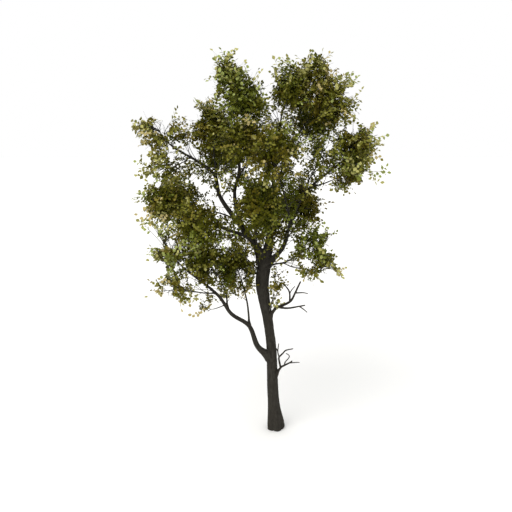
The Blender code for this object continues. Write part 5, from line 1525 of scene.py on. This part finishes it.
# ----------------------------------------------------------------------- operators
class IRONWOOD_OT_grow_limbs(bpy.types.Operator):
    """Clothe the trunk and every bough in bark with relief"""

    bl_idname = "ironwood.grow_limbs"
    bl_label = "Trunk and boughs"

    def execute(self, context):
        """Make one bark piece for each limb."""
        settings = context.scene.ironwood_bark
        limbs = lay_out_limbs(settings.ring_step)
        finish = bark_material("ironwood_bark", tuple(settings.plate_colour),
                               tuple(settings.furrow_colour), tuple(settings.lichen_colour),
                               *BARK_FINISH)
        for name, (line, radii) in limbs.items():
            trunk = name == "trunk"
            sides = int(np.clip(radii[0] * SIDES_BY_RADIUS, *BOUGH_SIDES))
            sides = TRUNK_SIDES if trunk else sides
            parent = None if trunk else limbs[BOUGHS[name][0]]
            points, furrow, rolled = limb_surface(line, radii, sides, settings, parent=parent,
                                                  trunk=trunk, collar=settings.collar)
            piece = make_piece(name + "_bark", points.reshape(-1, 3),
                               tube_faces(len(line), sides), [finish])
            add_attribute(piece, "furrow", "FLOAT", furrow)
            add_attribute(piece, "rolled", "FLOAT_VECTOR", rolled)
            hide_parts(name)
        return {"FINISHED"}


class IRONWOOD_OT_grow_dead_wood(bpy.types.Operator):
    """Make the bare dead limb and the dead twig on the trunk"""

    bl_idname = "ironwood.grow_dead_wood"
    bl_label = "Dead wood"

    def execute(self, context):
        """Make one piece for each dead limb, of all its branches."""
        settings = context.scene.ironwood_bark
        trunk, trunk_radius = lay_out_limbs(settings.ring_step)["trunk"]
        finish = bark_material("ironwood_dead_wood", tuple(settings.dead_colour),
                               tuple(settings.dead_crack_colour),
                               tuple(settings.lichen_colour), *DEAD_FINISH)
        for name, (height, branches) in DEAD_WOOD.items():
            root, parent = point_at_height(trunk, height), (trunk, trunk_radius)
            lines, parts, furrows, places = [], [], [], []
            for root_radius, tip_radius, stops in branches:
                if lines:
                    known = np.vstack(lines)
                    root = known[np.argmin(np.linalg.norm(known - stops[0], axis=1))]
                    parent, stops = None, stops[1:]
                line = smooth_line((tuple(root),) + stops, DEAD_STEP)
                radii = tapered_radii(line, root_radius, tip_radius, DEAD_TAPER) + DEAD_BARK
                part, furrow, rolled = limb_surface(line, radii, DEAD_SIDES, settings,
                                                    parent=parent, collar=settings.collar)
                parts.append((part.reshape(-1, 3), tube_faces(len(line), DEAD_SIDES)))
                furrows.append(furrow.ravel())
                places.append(rolled.reshape(-1, 3))
                lines.append(line)
            piece = make_piece(name + "_wood", *joined(parts), [finish])
            add_attribute(piece, "furrow", "FLOAT", np.concatenate(furrows))
            add_attribute(piece, "rolled", "FLOAT_VECTOR", np.concatenate(places))
            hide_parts(name)
        return {"FINISHED"}


class IRONWOOD_OT_grow_foliage(bpy.types.Operator):
    """Grow the twigs and leaves of every mass on from its bough"""

    bl_idname = "ironwood.grow_foliage"
    bl_label = "Twigs and leaves"

    def execute(self, context):
        """Make a piece of twigs and a piece of leaves for each mass."""
        scene = context.scene
        settings = scene.ironwood_foliage
        limbs = lay_out_limbs(BALL_STEP)
        spaces = spaces_of_masses()
        twig_finish = plain_material("ironwood_twig", tuple(scene.ironwood_bark.twig_colour),
                                     TWIG_ROUGHNESS)
        leaf_finishes = [plain_material("ironwood_" + name, colour, roughness, gloss)
                         for name, colour, roughness, gloss in LEAF_TINTS]
        for order, name in enumerate(spaces):
            rng, stem, radius, twigs, twiglets, shoots, kinds = grow_mass(order, name, limbs,
                                                                          spaces, settings)
            parts = (tapered(stem[None], radius, *STEM_TUBE), tapered(twigs, *TWIG_TUBE),
                     tapered(twiglets, *TWIGLET_TUBE), tapered(shoots, *SHOOT_TUBE))
            short = name.replace("foliage_", "")
            piece = make_piece(short + "_twigs", *joined(parts), [twig_finish])
            group = "amber" if name in AMBER_MASSES else "green"
            group = "olive" if name in OLIVE_MASSES else group
            piece = dress_shoots(short + "_leaves", rng, shoots, kinds, spaces[name].middle,
                                 group, limbs, spaces, settings, leaf_finishes)
            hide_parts(name)
        rng, twigs, shoots, kinds = grow_limb_twigs(limbs, spaces, settings)
        parts = (tapered(twigs, *LIMB_TWIG_TUBE), tapered(shoots, *SHOOT_TUBE))
        make_piece("limb_twigs", *joined(parts), [twig_finish])
        dress_shoots("limb_leaves", rng, shoots, kinds, CROWN_HEART, "green", limbs,
                             spaces, settings, leaf_finishes)
        return {"FINISHED"}


class IRONWOOD_OT_set_stage(bpy.types.Operator):
    """Lay the pale floor, hang the soft lights and set the camera"""

    bl_idname = "ironwood.set_stage"
    bl_label = "Floor, light and camera"

    def execute(self, context):
        """Make the floor, the world's light, the soft sun and the camera."""
        scene = context.scene
        settings = scene.ironwood_stage
        half = settings.floor_size
        mesh = bpy.data.meshes.new("floor")
        mesh.from_pydata([(-half, -half, 0.0), (half, -half, 0.0), (half, half, 0.0),
                          (-half, half, 0.0)], [], [(0, 1, 2, 3)])
        mesh.materials.append(plain_material("studio_floor", tuple(settings.floor_colour),
                                             FLOOR_ROUGHNESS))
        floor = bpy.data.objects.new("floor", mesh)
        scene.collection.objects.link(floor)

        world = bpy.data.worlds.new("studio_light")
        world.use_nodes = True
        sky = world.node_tree.nodes["Background"]
        sky.inputs["Color"].default_value = WHITE
        sky.inputs["Strength"].default_value = settings.sky_strength
        scene.world = world

        light = bpy.data.lights.new("soft_sun", "SUN")
        light.energy = settings.key_strength
        light.angle = settings.key_softness
        light.color = SUN_COLOUR
        sun = bpy.data.objects.new("soft_sun", light)
        sun.rotation_euler = SUN_TURN
        scene.collection.objects.link(sun)

        lens = bpy.data.cameras.new("camera")
        lens.lens = settings.lens
        camera = bpy.data.objects.new("camera", lens)
        camera.location = VIEWED_FROM
        camera.rotation_euler = VIEW_TURN
        scene.collection.objects.link(camera)
        scene.camera = camera
        scene.view_settings.view_transform = "Standard"
        return {"FINISHED"}


class IRONWOOD_PT_tree(bpy.types.Panel):
    """Steps that make the ironwood tree, with their settings"""

    bl_label = "Ironwood Tree"
    bl_idname = "IRONWOOD_PT_tree"
    bl_space_type = "VIEW_3D"
    bl_region_type = "UI"
    bl_category = "Ironwood"

    def draw(self, context):
        """List each step above the settings that it reads."""
        for group, steps in SETTINGS_AND_STEPS:
            box = self.layout.box()
            for step in steps:
                box.operator(step.bl_idname)
            settings = getattr(context.scene, group)
            for prop in settings.bl_rna.properties:
                if prop.identifier not in {"rna_type", "name"}:
                    box.prop(settings, prop.identifier)


SETTINGS_AND_STEPS = (
    ("ironwood_bark", (IRONWOOD_OT_grow_limbs, IRONWOOD_OT_grow_dead_wood)),
    ("ironwood_foliage", (IRONWOOD_OT_grow_foliage,)),
    ("ironwood_stage", (IRONWOOD_OT_set_stage,)),
)
SETTINGS = {
    "ironwood_bark": IronwoodBark, "ironwood_foliage": IronwoodFoliage,
    "ironwood_stage": IronwoodStage,
}
CLASSES = (
    *SETTINGS.values(), IRONWOOD_OT_grow_limbs, IRONWOOD_OT_grow_dead_wood,
    IRONWOOD_OT_grow_foliage, IRONWOOD_OT_set_stage, IRONWOOD_PT_tree,
)


def register():
    """Register the settings, the steps and the panel."""
    for kind in CLASSES:
        bpy.utils.register_class(kind)
    for name, kind in SETTINGS.items():
        setattr(bpy.types.Scene, name, bpy.props.PointerProperty(type=kind))


def unregister():
    """Take the settings, the steps and the panel away."""
    for name in SETTINGS:
        delattr(bpy.types.Scene, name)
    for kind in reversed(CLASSES):
        bpy.utils.unregister_class(kind)


def main():
    """Make the whole tree and its stage."""
    register()
    bpy.ops.ironwood.grow_limbs()
    bpy.ops.ironwood.grow_dead_wood()
    bpy.ops.ironwood.grow_foliage()
    bpy.ops.ironwood.set_stage()


if __name__ == "__main__":
    main()
